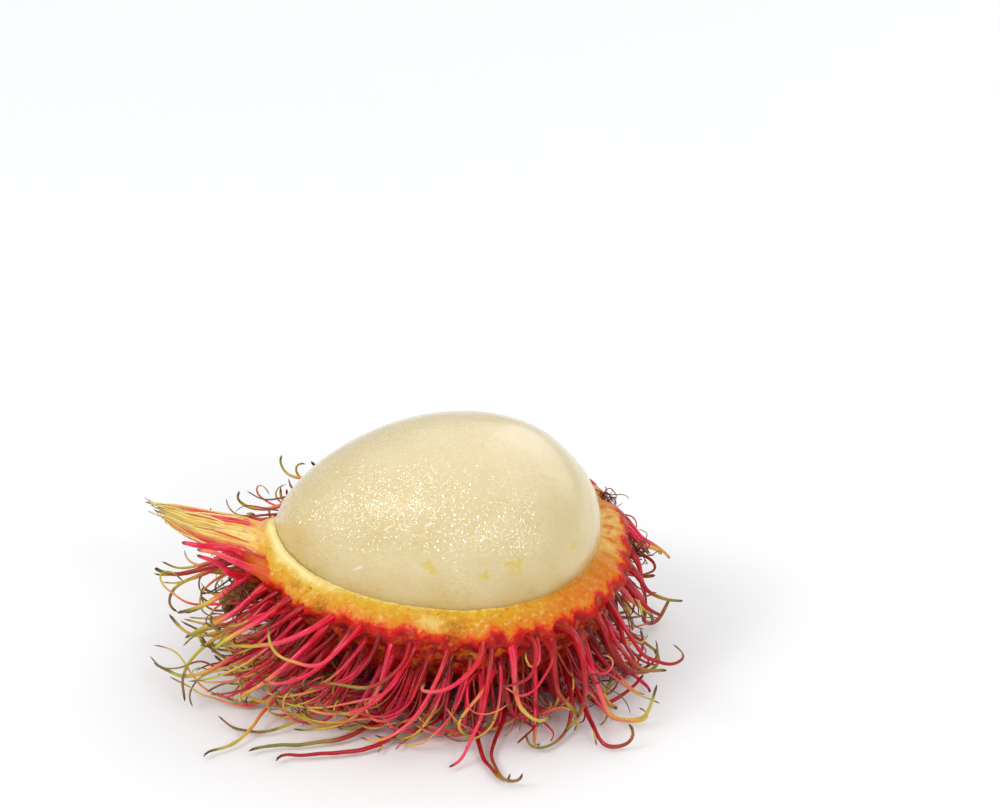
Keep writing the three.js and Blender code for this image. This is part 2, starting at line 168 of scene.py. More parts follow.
def ring_direction(height, angle):
    """The direction at a height over the cut's middle plane and an angle round it, 0 at the blunt end."""
    height, angle = np.broadcast_arrays(np.asarray(height, float), np.asarray(angle, float))
    ring = np.sqrt(1 - height * height)
    return (
        (ring * np.cos(angle))[..., None] * np.array([1.0, 0, 0])
        + (ring * np.sin(angle))[..., None] * CUT_SIDEWAYS
        + height[..., None] * CUT_NORMAL
    )


def lengthwise_direction(along, angle):
    """The direction at a share along the fruit's axis and an angle round that axis."""
    ring = math.sqrt(max(0, 1 - along * along))
    return np.array([along, ring * math.cos(angle), ring * math.sin(angle)])


def apart(angle, middle):
    """How far an angle is from another, either way round."""
    return np.abs(np.mod(angle - middle + np.pi, TURN) - np.pi)


def cut_rise(angle):
    return sum(rise * (1 - eased(apart(angle, middle), 0, half)) for middle, half, rise in (LIP, FAR_DIP))


def wobble(points, size, seed=0.0, octaves=3):
    """Smooth noise from -1 to 1 at each point, whose bumps are about size across."""
    shift = Vector((seed * 7.31, seed * 3.17, seed * 5.93))
    flat = np.asarray(points, float).reshape(-1, 3) / size
    values = [noise.fractal(Vector(p) + shift, 1.0, 2.0, octaves) for p in flat]
    return np.array(values).reshape(np.asarray(points).shape[:-1])


class RandomStream:
    """The CAD part's repeatable random numbers."""

    def __init__(self, seed):
        self.state = seed

    def next(self):
        self.state = (self.state * 1664525 + 1013904223) % 4294967296
        return self.state / 4294967296

    def between(self, low, high):
        return low + (high - low) * self.next()

    def vector(self, size):
        return np.array([self.between(-size, size) for _ in range(3)])


# ---- Spine lines ----
def through(place, stops):
    """A value that runs through given stops, (place, value)."""
    return float(np.interp(place, [stop[0] for stop in stops], [stop[1] for stop in stops]))


def turned(vector, axis, angle):
    cross = np.cross(axis, vector)
    return vector * math.cos(angle) + cross * math.sin(angle) + axis * (axis @ vector) * (1 - math.cos(angle))


def keep_clear(point, floor):
    guard = (EGG_OUTER[0] + PEEL_CLEARANCE, EGG_OUTER[1] + PEEL_CLEARANCE)
    level = float(egg_level(point, guard))
    if level < 1:
        point = CENTRE + (point - CENTRE) / level
    return np.array([point[0], point[1], max(point[2], floor)])


def grown_line(direction, random, length_share=1.0, curl_share=1.0):
    """A spine's line from its root. It leaves the peel square, sags, sweeps along the fruit and curls."""
    root = on_egg(direction, EGG_OUTER)
    out = egg_normal(root, EGG_OUTER)
    along = (root[0] - CENTRE[0]) / EGG_OUTER[0]
    comb = through(along, [(-1, -0.9), (-0.2, -1), (0.25, -0.3), (0.7, 0.4), (1, 0.25)])
    sag = through(along, [(-1, 0.5), (-0.5, 0.8), (0.2, 1.15), (0.7, 1.4), (1, 2)])
    lift = through(along, [(-1, 0.4), (-0.3, 0.35), (0.3, 0.15), (0.8, 0.2), (1, 0.1)])
    size = through(along, [(-1, 0.8), (-0.6, 1.05), (-0.3, 1.15), (0.3, 1), (0.8, 0.85), (1, 0.5)])
    length = random.between(*SPINE_LENGTH) * size * length_share
    floor = random.between(*FLOOR_CLEARANCE)
    stray = random.vector(1)
    swing = random.between(0.14, 0.28)
    turn = random.between(-1, 1)
    curl = random.between(0.2, 1) ** 1.5 * SPINE_CURL * curl_share
    side = 1 if random.next() < 0.7 else -1

    heading = unit(out * random.between(0.75, 1.1) + np.array([comb * 0.25, 0, -sag * 0.6]) + stray * 0.25)
    early = unit(out * 0.3 + np.array([comb * 0.6, 0, -sag]) + stray * 0.45)
    late = unit(out * 0.15 + np.array([comb * 1.2, 0, lift]) + stray[[1, 2, 0]] * 0.8)
    step = length / SPINE_STEPS
    points = [root - out * SPINE_ROOT_DEPTH, root]
    point = keep_clear(root, floor)
    axis = None
    for i in range(1, SPINE_STEPS + 1):
        share = i / SPINE_STEPS
        blend = float(eased(share, 0.2, 0.7))
        target = unit(early * (1 - blend) + late * blend)
        held = 1 - float(eased(share, 0.55, 0.85))
        pull = swing * step * (0.8 + 0.8 * share) * held
        heading = unit(heading + (target - heading) * pull)
        if share > 0.5:
            if axis is None:
                level = unit(np.array([heading[1], -heading[0], 0])) * side
                axis = unit(level + np.array([0, 0, turn]))
            heading = turned(heading, axis, curl * ((share - 0.5) / 0.5) ** SPINE_CURL_POWER * step)
        following = keep_clear(point + heading * step, floor)
        heading = unit(following - point)
        points.append(following)
        point = following
    return np.array(points)


def smoothed(points, rounds):
    points = points.copy()
    for _ in range(rounds):
        points[1:-1] = 0.25 * points[:-2] + 0.5 * points[1:-1] + 0.25 * points[2:]
    return points


def resampled(points, count):
    """The same line as evenly spaced points on a smooth curve through its corners."""
    points = np.asarray(points, float)
    padded = np.vstack([2 * points[0] - points[1], points, 2 * points[-1] - points[-2]])
    fine = []
    for a, b, c, d in zip(padded, padded[1:], padded[2:], padded[3:]):
        t = np.linspace(0, 1, 12, endpoint=False)[:, None]
        fine.append(0.5 * (2 * b + (c - a) * t + (2 * a - 5 * b + 4 * c - d) * t**2
                           + (3 * b - a - 3 * c + d) * t**3))
    fine = np.vstack([*fine, points[-1:]])
    run = np.concatenate([[0], np.cumsum(size_of(np.diff(fine, axis=0)))])
    places = np.linspace(0, run[-1], count)
    return np.stack([np.interp(places, run, fine[:, k]) for k in range(3)], -1)


def spine_sites(random):
    """The directions of the main spines: a row under the cut, and the rest spread evenly over the cup."""
    directions = []
    for i in range(RIM_SPINES):
        angle = 2 * math.pi * (i + random.between(-0.3, 0.3)) / RIM_SPINES
        directions.append(ring_direction(random.between(*RIM_SPINE_HEIGHT), angle))
    golden_angle = math.pi * (3 - math.sqrt(5))
    for i in range(BODY_SITES):
        along = 1 - 2 * (i + 0.5 + random.between(-0.4, 0.4)) / BODY_SITES
        ring = math.sqrt(max(0, 1 - along * along))
        direction = lengthwise_direction(along, golden_angle * i + random.between(-0.12, 0.12) / max(0.2, ring))
        is_clear_of_flat_spot = on_egg(direction, EGG_OUTER)[2] > LOWEST_ROOT
        if direction @ CUT_NORMAL < BODY_TOP_HEIGHT and is_clear_of_flat_spot:
            directions.append(direction)
    return [direction for direction in directions if direction @ STALK_DIRECTION < STALK_CLEARANCE]


def under_the_cut(direction):
    """The same direction, lowered where it would put a spine's root above the edge of the cut."""
    height = direction @ CUT_NORMAL
    flat = direction - height * CUT_NORMAL
    angle = math.atan2(flat[1] / math.cos(CUT_TILT), flat[0])
    return ring_direction(min(height, HIGHEST_ROOT + float(cut_rise(angle))), angle)


def towards(place):
    """The direction whose point on the skin is in line with a place."""
    offset = (place - CENTRE) / egg_level(place, EGG_OUTER)
    along = offset[0] / EGG_OUTER[0]
    across = EGG_OUTER[1] * bluntness(along)
    return unit(np.array([along, offset[1] / across, offset[2] / across]))


def routed(route):
    """A route's points with its root on the skin, under the cut, and one more inside it."""
    points = np.array(route, float)
    points[0] = on_egg(under_the_cut(towards(points[0])), EGG_OUTER)
    points = resampled(points, ROUTE_POINTS)
    inside = points[0] - egg_normal(points[0], EGG_OUTER) * SPINE_ROOT_DEPTH
    return np.vstack([inside, points])


def all_spines():
    """Every spine as (points, radius): those that the CAD part has, by the same steps."""
    random = RandomStream(7)
    spines = []
    for direction in spine_sites(random):
        line = grown_line(under_the_cut(direction), random)
        spines.append((line, random.between(*SPINE_RADIUS)))
    spines += [(routed(route), random.between(*SPINE_RADIUS)) for route in LONG_SPINES]
    spines += [(routed(route), random.between(*STOUT_RADIUS)) for route in STOUT_SPINES]
    return spines


# ---- Meshes ----
def make_object(name, points, faces, material, numbers=None, smooth=True):
    """A mesh object from points in millimetres. numbers are named values for each point, for its material."""
    mesh = bpy.data.meshes.new(name)
    mesh.from_pydata((np.asarray(points) * MM).tolist(), [], faces)
    mesh.materials.append(material)
    if smooth:
        mesh.shade_smooth()
    for key, values in (numbers or {}).items():
        layer = mesh.attributes.new(key, "FLOAT", "POINT")
        layer.data.foreach_set("value", np.asarray(values, np.float32).ravel())
    mesh.update()
    made = bpy.data.objects.new(name, mesh)
    bpy.context.scene.collection.objects.link(made)
    return made


def ring_angles(count):
    return np.linspace(0, TURN, count, endpoint=False)


def ring_faces(rows, columns):
    """Quads of a grid whose rows are closed rings."""
    index = np.arange(rows * columns).reshape(rows, columns)
    right = np.roll(index, -1, axis=1)
    quads = np.stack([index[:-1], right[:-1], right[1:], index[1:]], -1)
    return quads.reshape(-1, 4).tolist()


def closed_faces(rows, columns):
    """The same quads, and a fan from the first ring and from the last to the two points that follow the grid."""
    faces = ring_faces(rows, columns)
    first = rows * columns
    for k in range(columns):
        after = (k + 1) % columns
        faces.append([first, after, k])
        faces.append([first + 1, first - columns + k, first - columns + after])
    return faces


def tube(points, radii, sides, squash=1.0, roll=0.0):
    """A closed tapered tube along a line: points, faces, each point's share along it, and its place round it."""
    count = len(points)
    tangents = unit(np.gradient(points, axis=0))
    normal = unit(np.cross(tangents[0], [0.3, 0.2, 0.9]))
    normals = [normal]
    for after in tangents[1:]:
        normal = unit(normal - after * (after @ normal))
        normals.append(normal)
    normals = np.array(normals)
    binormals = np.cross(tangents, normals)
    turn = ring_angles(sides)
    ring = (np.cos(turn + roll)[None, :, None] * normals[:, None] * squash
            + np.sin(turn + roll)[None, :, None] * binormals[:, None])
    skin = points[:, None] + ring * np.asarray(radii)[:, None, None]
    verts = np.vstack([skin.reshape(-1, 3), points[:1], points[-1:]])
    share = np.concatenate([np.repeat(np.linspace(0, 1, count), sides), [0, 1]])
    turn = np.concatenate([np.tile(turn, count), [0, 0]])
    return verts, closed_faces(count, sides), share, {"round_x": np.cos(turn), "round_y": np.sin(turn)}


class Bundle:
    """Many tubes gathered into one mesh, with values for each point."""

    def __init__(self):
        self.points, self.faces, self.numbers, self.count = [], [], {}, 0

    def add(self, verts, faces, **numbers):
        self.points.append(verts)
        self.faces.extend([[index + self.count for index in face] for face in faces])
        for key, values in numbers.items():
            full = np.broadcast_to(np.asarray(values, float), (len(verts),))
            self.numbers.setdefault(key, []).append(full)
        self.count += len(verts)

    def build(self, name, material):
        numbers = {key: np.concatenate(values) for key, values in self.numbers.items()}
        return make_object(name, np.vstack(self.points), self.faces, material, numbers)


# ---- Materials ----
def screen_colour(red, green, blue):
    """A colour given as the 0 to 255 of a screen, in the shader's linear light, with full alpha."""
    levels = [level / 255 for level in (red, green, blue)]
    return (*(low / 12.92 if low <= 0.04045 else ((low + 0.055) / 1.055) ** 2.4 for low in levels), 1)


class Nodes:
    """Short calls that add nodes to a tree and return their outputs. Colours are 0 to 255."""

    def __init__(self, tree):
        self.tree = tree

    def feed(self, sockets, values):
        """Links or sets sockets by name or number. None leaves a socket as it is."""
        for key, value in values.items():
            if isinstance(value, bpy.types.NodeSocket):
                self.tree.links.new(value, sockets[key])
            elif value is not None:
                sockets[key].default_value = value

    def node(self, kind, output, values, **settings):
        """Adds a node, feeds it and returns one of its outputs, if it has any."""
        node = self.tree.nodes.new("ShaderNode" + kind)
        for key, setting in settings.items():
            setattr(node, key, setting)
        self.feed(node.inputs, values)
        return None if output is None else node.outputs[output]

    def value(self, name):
        """One of the numbers that the mesh has for each point."""
        return self.node("Attribute", "Fac", {}, attribute_name=name)

    def place(self):
        return self.node("TexCoord", "Object", {})

    def point(self, x, y, z):
        return self.node("CombineXYZ", "Vector", {0: x, 1: y, 2: z})

    def grain(self, size, where=None, detail=3.0, rough=0.5):
        """Noise from 0 to 1 whose spots are about size, in millimetres on the object."""
        scale = 1 / (size * MM) if where is None else 1 / size
        values = {"Vector": where or self.place(), "Scale": scale, "Detail": detail, "Roughness": rough}
        return self.node("TexNoise", "Fac", values)

    def spots(self, size, low, high, to_low=0.0, to_high=1.0, **options):
        """Grain from low to high as to_low to to_high."""
        return self.span(self.grain(size, **options), low, high, to_low, to_high)

    def sway(self, size, strength, **options):
        """Grain round 0, strength from its lowest to its highest."""
        return self.times(self.join("SUBTRACT", self.grain(size, **options), 0.5), strength)

    def join(self, operation, first, *others, clamp=False):
        """The values joined one after another. clamp keeps the last result from 0 to 1."""
        for other in others:
            first = self.node("Math", "Value", {0: first, 1: other}, operation=operation)
        first.node.use_clamp = clamp
        return first

    def plus(self, *terms, clamp=False):
        return self.join("ADD", *terms, clamp=clamp)

    def times(self, *factors, clamp=False):
        return self.join("MULTIPLY", *factors, clamp=clamp)

    def span(self, value, low, high, to_low=0.0, to_high=1.0):
        """value's place between low and high, clamped, as to_low to to_high."""
        values = {"Value": value, "From Min": low, "From Max": high, "To Min": to_low, "To Max": to_high}
        return self.node("MapRange", "Result", values)

    def ramp(self, value, *stops):
        """A colour that runs through stops, each (place, red, green, blue)."""
        result = self.node("ValToRGB", "Color", {"Fac": value})
        elements = result.node.color_ramp.elements
        while len(elements) < len(stops):
            elements.new(0.5)
        for element, (place, *colour) in zip(elements, stops):
            element.position = place
            element.color = screen_colour(*colour)
        return result

    def cover(self, colour, *coats):
        """A colour with others laid over it in turn, each (share, colour)."""
        for share, coat in coats:
            coat = screen_colour(*coat) if isinstance(coat, tuple) else coat
            colour = self.node("Mix", 2, {0: share, 6: colour, 7: coat}, data_type="RGBA")
        return colour

    def bump(self, height, depth, strength=1.0, under=None):
        """A normal from a height of 0 to 1 that stands for depth, in millimetres."""
        values = {"Height": height, "Distance": depth * MM, "Strength": strength, "Normal": under}
        return self.node("Bump", "Normal", values)

    def facets(self, size, tilt, normal):
        """The normal, turned its own way in each small cell, so that the cells glint one by one."""
        result = self.node("TexVoronoi", "Color", {"Vector": self.place(), "Scale": 1 / (size * MM)})
        for operation, key, other in (
            ("SUBTRACT", 1, (0.5, 0.5, 0.5)), ("SCALE", "Scale", tilt), ("ADD", 1, normal), ("NORMALIZE", 1, None),
        ):
            result = self.node("VectorMath", "Vector", {0: result, key: other}, operation=operation)
        return result


class Paint(Nodes):
    """The nodes of a procedural material."""

    def __init__(self, name):
        self.material = bpy.data.materials.new(name)
        self.material.use_nodes = True
        super().__init__(self.material.node_tree)
        self.tree.nodes.clear()

    def finish(self, **values):
        """Gives the material a shader whose inputs are set by name, with _ for a space."""
        values = {key.replace("_", " "): value for key, value in values.items()}
        self.node("OutputMaterial", None, {"Surface": self.node("BsdfPrincipled", "BSDF", values)})
        return self.material


def peel_material():
    """The cut face and the crimson skin round it, told apart by the distance from the aril in rind widths."""
    paint = Paint("peel_rind")
    uneven = paint.plus(paint.sway(0.8, 0.8, detail=5.0, rough=0.65), paint.sway(3.4, 0.4))
    widened = paint.join("SUBTRACT", paint.value("across"), paint.span(paint.value("ring_x"), -9, -15, 0, 0.25))
    reach = paint.plus(widened, paint.times(paint.value("near_root"), 0.6), uneven)
    colour = paint.cover(cut_colour(paint, reach), (paint.span(reach, 1.3, 1.75), skin_colour(paint, reach)))
    specks = paint.times(paint.spots(0.4, 0.68, 0.74, detail=2.0), paint.spots(2.2, 0.48, 0.58, detail=1.0), 0.8)
    normal = paint.bump(paint.grain(0.9, rough=0.6), 0.3, 0.8)
    return paint.finish(
        Base_Color=paint.cover(colour, (specks, (84, 40, 12))),
        Normal=paint.bump(paint.grain(0.3, detail=2.0), 0.05, 0.8, normal),
        Roughness=paint.spots(0.8, 0.35, 0.65, 0.25, 0.55), Specular_IOR_Level=0.15,
        Subsurface_Weight=0.08, Subsurface_Radius=(1.0, 0.3, 0.08), Subsurface_Scale=0.0006,
        Coat_Weight=0.22, Coat_Roughness=0.08,
        Coat_Normal=paint.facets(0.22, 0.36, paint.bump(paint.grain(2.0), 0.1, 0.5)),
    )


def cut_colour(paint, reach):
    """The cut face: cream by the aril and golden to orange outwards, with segments at the blunt end."""
    lengthwise = paint.value("ring_x")
    blunt_end = paint.value("blunt_end")
    place = paint.times(reach, 0.5, clamp=True)
    pale = paint.ramp(
        place, (0.0, 234, 210, 128), (0.07, 226, 188, 72), (0.22, 218, 164, 30), (0.46, 218, 130, 16),
        (0.53, 224, 78, 6), (0.6, 206, 22, 2), (0.8, 140, 4, 4),
    )
    golden = paint.ramp(
        place, (0.0, 234, 204, 100), (0.06, 222, 172, 28), (0.22, 216, 156, 12), (0.46, 216, 126, 8),
        (0.53, 224, 78, 4), (0.6, 206, 22, 2), (0.8, 138, 4, 4),
    )
    segment_place = paint.point(lengthwise, paint.value("ring_y"), paint.times(paint.value("across"), 0.5))
    segment_grain = paint.grain(1.3, segment_place, detail=2.0)
    segments = paint.ramp(segment_grain, (0.34, 212, 100, 34), (0.46, 230, 158, 58), (0.57, 242, 212, 122))
    on_cut = paint.span(reach, 1.05, 0.7)
    mottled = paint.span(lengthwise, -8, 6, 0.4, 0.7)
    mottles = [
        (paint.times(paint.spots(size, low, high, detail=5.0, rough=0.7), mottled, on_cut), tone)
        for size, low, high, tone in (
            (1.3, 0.54, 0.66, (206, 92, 12)), (0.6, 0.53, 0.64, (250, 226, 140)), (0.3, 0.56, 0.66, (170, 100, 14)),
        )
    ]
    ruddy = paint.times(paint.span(lengthwise, 5, 14, 0, 0.6), on_cut, paint.span(blunt_end, 0, 1, 1, 0.3))
    brown = paint.ramp(paint.grain(0.5), (0.4, 140, 84, 10), (0.6, 196, 138, 24))
    return paint.cover(
        pale,
        (paint.span(lengthwise, -9, 3), golden),
        (paint.times(blunt_end, on_cut, 0.75), segments),
        *mottles,
        (ruddy, (206, 92, 8)),
        (paint.times(paint.value("browned"), 0.65), brown),
        (paint.times(paint.value("bruise"), on_cut), (228, 206, 120)),
        (paint.value("crest"), (248, 230, 160)),
    )


def skin_colour(paint, reach):
    """The skin between the spines: crimson, with orange patches near the cut."""
    crimson = paint.ramp(
        paint.grain(1.9, detail=4.0), (0.3, 62, 4, 4), (0.45, 122, 4, 5), (0.58, 172, 6, 8), (0.75, 206, 30, 20),
    )
    orange = paint.ramp(paint.grain(0.9, detail=4.0), (0.35, 204, 50, 4), (0.5, 224, 112, 12), (0.66, 208, 154, 36))
    patches = paint.times(paint.spots(1.5, 0.49, 0.6, detail=4.0), paint.span(reach, 4.5, 1.8), 0.85)
    return paint.cover(crimson, (patches, orange), (paint.times(paint.value("mound"), 0.6), (204, 12, 22)))


def spine_material():
    """Crimson at the root, rose and salmon along it, then yellow-green, with a dried brown tip. The raised parts of
    its grooves are painted pale pink as painted highlights, and the low parts darker red as painted shade.
    """
    paint = Paint("peel_spine_skin")
    along, ripe = paint.value("along"), paint.value("ripe")
    drift = paint.sway(2.2, 0.3)
    place = paint.plus(along, drift, paint.times(paint.value("shade"), 0.22), clamp=True)
    fresh = paint.ramp(
        place, (0.0, 172, 4, 8), (0.12, 214, 2, 28), (0.34, 234, 20, 74), (0.5, 238, 74, 92),
        (0.62, 236, 138, 78), (0.76, 222, 188, 70), (0.9, 178, 180, 50), (1.0, 114, 98, 34),
    )
    red = paint.ramp(
        place, (0.0, 126, 2, 6), (0.3, 184, 2, 26), (0.6, 168, 6, 24), (0.76, 158, 62, 28),
        (0.88, 160, 132, 44), (1.0, 128, 126, 40),
    )
    dried = paint.ramp(paint.grain(1.2), (0.3, 58, 20, 8), (0.5, 110, 48, 20), (0.7, 160, 98, 42))
    groove_place = paint.point(paint.value("round_x"), paint.value("round_y"), paint.times(along, 3.0))
    grooves = paint.grain(0.4, groove_place)
    rooted = paint.span(paint.plus(along, drift), 0.22, 0.0)
    colour = paint.cover(
        fresh,
        (ripe, red),
        # Pale pink streaks on the raised parts of the grooves: painted highlights.
        (paint.times(paint.span(grooves, 0.53, 0.7, 0, 0.5), paint.span(ripe, 0, 1, 1, 0.3)), (248, 124, 132)),
        # Darker red in the low parts of the grooves: painted shade.
        (paint.span(grooves, 0.42, 0.3, 0, 0.35), (128, 6, 20)),
        (paint.span(along, 0.06, 0.0, 0, 0.6), (196, 44, 20)),
        (paint.times(rooted, paint.value("blush")), (230, 128, 34)),
        (paint.span(paint.value("tip"), 0.93, 0.99), (72, 44, 22)),
        (paint.value("dry"), dried),
        (paint.times(paint.value("stain"), paint.spots(0.5, 0.38, 0.56, detail=2.0)), (38, 6, 12)),
    )
    return paint.finish(
        Base_Color=colour, Normal=paint.bump(grooves, 0.08, 0.8, paint.bump(paint.grain(0.2, detail=2.0), 0.03, 0.6)),
        Roughness=paint.spots(0.7, 0.3, 0.7, 0.2, 0.45), Specular_IOR_Level=0.2,
        Subsurface_Weight=0.05, Subsurface_Radius=(1.0, 0.2, 0.2), Subsurface_Scale=0.0004,
        Coat_Weight=0.4, Coat_Roughness=0.06,
    )


def tongue_material():
    """Spines that have grown together: cream, yellow and pink bands, yellow at the root and brown at the ends."""
    paint = Paint("peel_torn_fibres")
    along = paint.value("along")
    wander = paint.sway(1.6, 0.5)
    fibre = paint.ramp(
        paint.plus(paint.value("band"), wander, clamp=True), (0.08, 244, 222, 142), (0.3, 238, 196, 96),
        (0.46, 234, 158, 92), (0.6, 230, 100, 92), (0.8, 222, 48, 70), (1.0, 190, 24, 38),
    )
    root = paint.ramp(paint.grain(1.0, detail=4.0), (0.35, 230, 150, 40), (0.55, 238, 186, 74), (0.7, 245, 216, 120))
    colour = paint.cover(
        fibre,
        (paint.span(paint.plus(along, wander), 0.26, 0.06), root),
        (paint.value("under"), (196, 36, 26)),
        (paint.span(along, 0.5, 0.8, 0, 0.4), (214, 204, 104)),
        (paint.span(along, 0.93, 1.0), (104, 70, 36)),
    )
    grooves = paint.grain(0.3, paint.point(paint.value("round_x"), paint.value("round_y"), along))
    return paint.finish(
        Base_Color=colour, Normal=paint.bump(grooves, 0.05, 0.6), Roughness=paint.spots(0.8, 0.35, 0.65, 0.22, 0.5),
        Subsurface_Weight=0.15, Subsurface_Radius=(1.0, 0.5, 0.2), Subsurface_Scale=0.0006,
        Coat_Weight=0.2, Coat_Roughness=0.1,
    )


def aril_material():
    """Wet translucent flesh, painted darker lower down as painted shade: its film of juice glints in grains over
    faint strands and scraps of seed coat.
    """
    paint = Paint("aril_wet_flesh")
    # The flesh is painted darker and yellower from its top down to the cut: the darkening is painted shade, the
    # yellow its own tone.
    flesh = paint.ramp(
        paint.value("height"), (0.0, 202, 169, 92), (0.1, 209, 184, 110), (0.35, 215, 196, 136),
        (0.7, 219, 200, 148), (1.0, 226, 208, 160),
    )
    colour = paint.cover(
        flesh,
        (paint.spots(6.0, 0.35, 0.7, 0.0, 0.35), (238, 226, 190)),
        (paint.spots(0.4, 0.3, 0.7, 0.0, 0.2), (196, 174, 116)),
        (paint.times(paint.value("fleck"), 0.75), (214, 188, 46)),
        (paint.times(paint.value("scratch"), 0.6), (246, 244, 238)),
    )
    strand_place = paint.point(*[paint.value("strand_" + axis) for axis in "xyz"])
    normal = paint.bump(paint.grain(1.0, strand_place), 0.06, 0.3)
    tilt = paint.times(paint.spots(5.0, 0.35, 0.6, 0.6, 1.0, detail=1.0), paint.value("film"), 0.8)
    return paint.finish(
        Base_Color=colour, Normal=normal, Roughness=0.34, Specular_IOR_Level=0.3,
        Subsurface_Weight=0.6, Subsurface_Radius=(1.0, 0.74, 0.42), Subsurface_Scale=0.0035,
        Coat_Weight=1.0, Coat_IOR=1.8, Coat_Roughness=paint.value("matt"),
        Coat_Normal=paint.facets(0.15, tilt, normal),
    )


def stalk_material():
    """Dry wood in browns, with a coarse surface."""
    paint = Paint("stalk_dry_wood")
    colour = paint.ramp(paint.grain(0.9, detail=4.0), (0.3, 60, 36, 18), (0.5, 134, 94, 48), (0.7, 186, 148, 90))
    return paint.finish(Base_Color=colour, Normal=paint.bump(paint.grain(0.3, detail=4.0), 0.25, 0.8), Roughness=0.85)


def floor_material():
    paint = Paint("floor_white")
    tone = paint.ramp(paint.grain(60.0), (0.0, 244.6, 245.8, 247.0), (1.0, 247.0, 248.2, 249.3))
    return paint.finish(Base_Color=tone, Roughness=0.5, Specular_IOR_Level=0.3)


# ---- The peel ----
ANGLES = 440
SKIN_ROWS = 109
CUT_ROWS = 24
LINING_ROWS = 13
ON_SKIN = slice(0, SKIN_ROWS)
ON_CUT = slice(SKIN_ROWS, SKIN_ROWS + CUT_ROWS)
RING_RADIUS = 17  # of the cut's middle line, for patterns that go round it
MOUND_HEIGHT = 1.0
MOUND_RADIUS = 1.6
MOUND_STEEPNESS = 1.4
MOUND_DROP = 0.5
EDGE_ROUNDING = 0.5
CROWN = 0.5  # how far the cut face swells
CREST_ANGLE = math.pi + 0.35
CREST_HEIGHT = 0.5
CREST_PLACE = 0.2  # from the cut's inner edge to its outer one, and the crest's width in the same share
MENISCUS_HEIGHT = 0.45
MENISCUS_SHARE = 0.07
FLAME_WIDTH = 0.8
FLAME_REACH = 2.4
TUCK = 0.15
BRUISE = (-5.6, -17.3, 15.4)
BRUISE_SIZE = (2.6, 2.2, 2.2)
BRUISE_STRENGTH = 0.7
# The browned places on the cut: middle and reach.
BROWNED = [
    ((-2.4, -17.9, 15.2), 1.6), ((-19.5, -12.8, 15.6), 1.4), ((-22.5, -9.5, 17.2), 1.0), ((8.5, -17.2, 15.4), 1.2),
]


def ring_place(angle, radius):
    return np.stack([radius * np.cos(angle), radius * np.sin(angle), 0 * angle], -1)


def cut_edges(angle):
    """The ragged outer and inner edge of the cut round the fruit, as angles over its middle plane."""
    rise = cut_rise(angle)
    ring = ring_place(angle, 10)
    jag = 0.03 * wobble(ring, 1.3, 1) + 0.02 * wobble(ring, 0.4, 2)
    return np.arcsin(CUT_OUTER_HEIGHT + rise + jag), np.arcsin(CUT_INNER_HEIGHT + rise + 0.25 * jag)


def skin_rows(angle, outer_top, roots):
    """The skin's points from the underside up, each one's share of a mound and its distance from the cut."""
    shares = np.linspace(0, 1, SKIN_ROWS + 1)[1:, None]
    polar = -np.pi / 2 + (outer_top + np.pi / 2) * shares
    direction = ring_direction(np.sin(polar), angle)
    skin = on_egg(direction, EGG_OUTER)
    normals = egg_normal(skin, EGG_OUTER)
    mounds = [np.exp(-MOUND_STEEPNESS * (size_of(skin - root) / MOUND_RADIUS) ** 2) for root in roots]
    mound = np.max(mounds, axis=0)
    bumps = 0.35 * wobble(skin, 2.2, 3) + 0.15 * wobble(skin, 0.8, 4)
    edge = eased(shares, 0.93, 1.0)
    height = MOUND_HEIGHT * mound + bumps * (1 - 0.6 * edge) - EDGE_ROUNDING * edge**2
    skin = skin + normals * height[..., None]
    sag = UNDERSIDE_SAG * eased(-direction[..., 2], 0.6, 1.0)
    skin[..., 2] = np.maximum(skin[..., 2] - sag, 0)
    return skin, mound, (outer_top - polar) * EGG_OUTER[1] / RIND


def cut_rows(angle, inner_top, outer):
    """The cut face's points from the skin inwards, each row's share across, and each point's share of the crest."""
    across = np.linspace(0, 1, CUT_ROWS + 1)[:0:-1, None] ** 1.2 * 0.985
    inner = on_egg(ring_direction(np.sin(inner_top), angle), (ARIL_HALF - TUCK, ARIL_RADIUS - TUCK))
    cut = inner + (outer - inner) * across[..., None]
    crown = CROWN * np.sin(np.pi * np.clip(across, 0, 1) ** 0.8)
    place = ring_place(angle, RING_RADIUS)[None] + across[..., None] * np.array([0, 0, RIND])
    ripple = 0.2 * wobble(place, 2.6, 6) + 0.08 * wobble(place, 0.8, 5)
    on_crest = 1 - eased(apart(angle, CREST_ANGLE), 0.25, 0.7)
    crest = on_crest * np.exp(-(((across - CREST_PLACE) / CREST_PLACE) ** 2))
    meniscus = np.exp(-across / MENISCUS_SHARE)
    lift = crown + ripple * np.sin(np.pi * np.clip(across, 0.02, 1)) + CREST_HEIGHT * crest
    return cut + CUT_NORMAL * (lift + MENISCUS_HEIGHT * meniscus)[..., None], across, crest


def by_roots(rows, angle, roots):
    """How near each point is to a root, in flames that run from it straight up over the cut's edge."""
    near = []
    for root in roots:
        offset = root - CENTRE
        sideways = apart(angle, math.atan2(offset @ CUT_SIDEWAYS, offset[0])) * EGG_OUTER[1]
        near.append(np.exp(-((sideways / FLAME_WIDTH) ** 2) - (size_of(rows - root) / FLAME_REACH) ** 2))
    return np.max(near, axis=0)


def browning(rows):
    """Each point's share of the browned places, whose edges are ragged."""
    ragged = 0.7 * wobble(rows, 0.8, 9)
    return np.max([1 - eased(size_of(rows - middle) / size + ragged, 0.4, 1.1) for middle, size in BROWNED], axis=0)


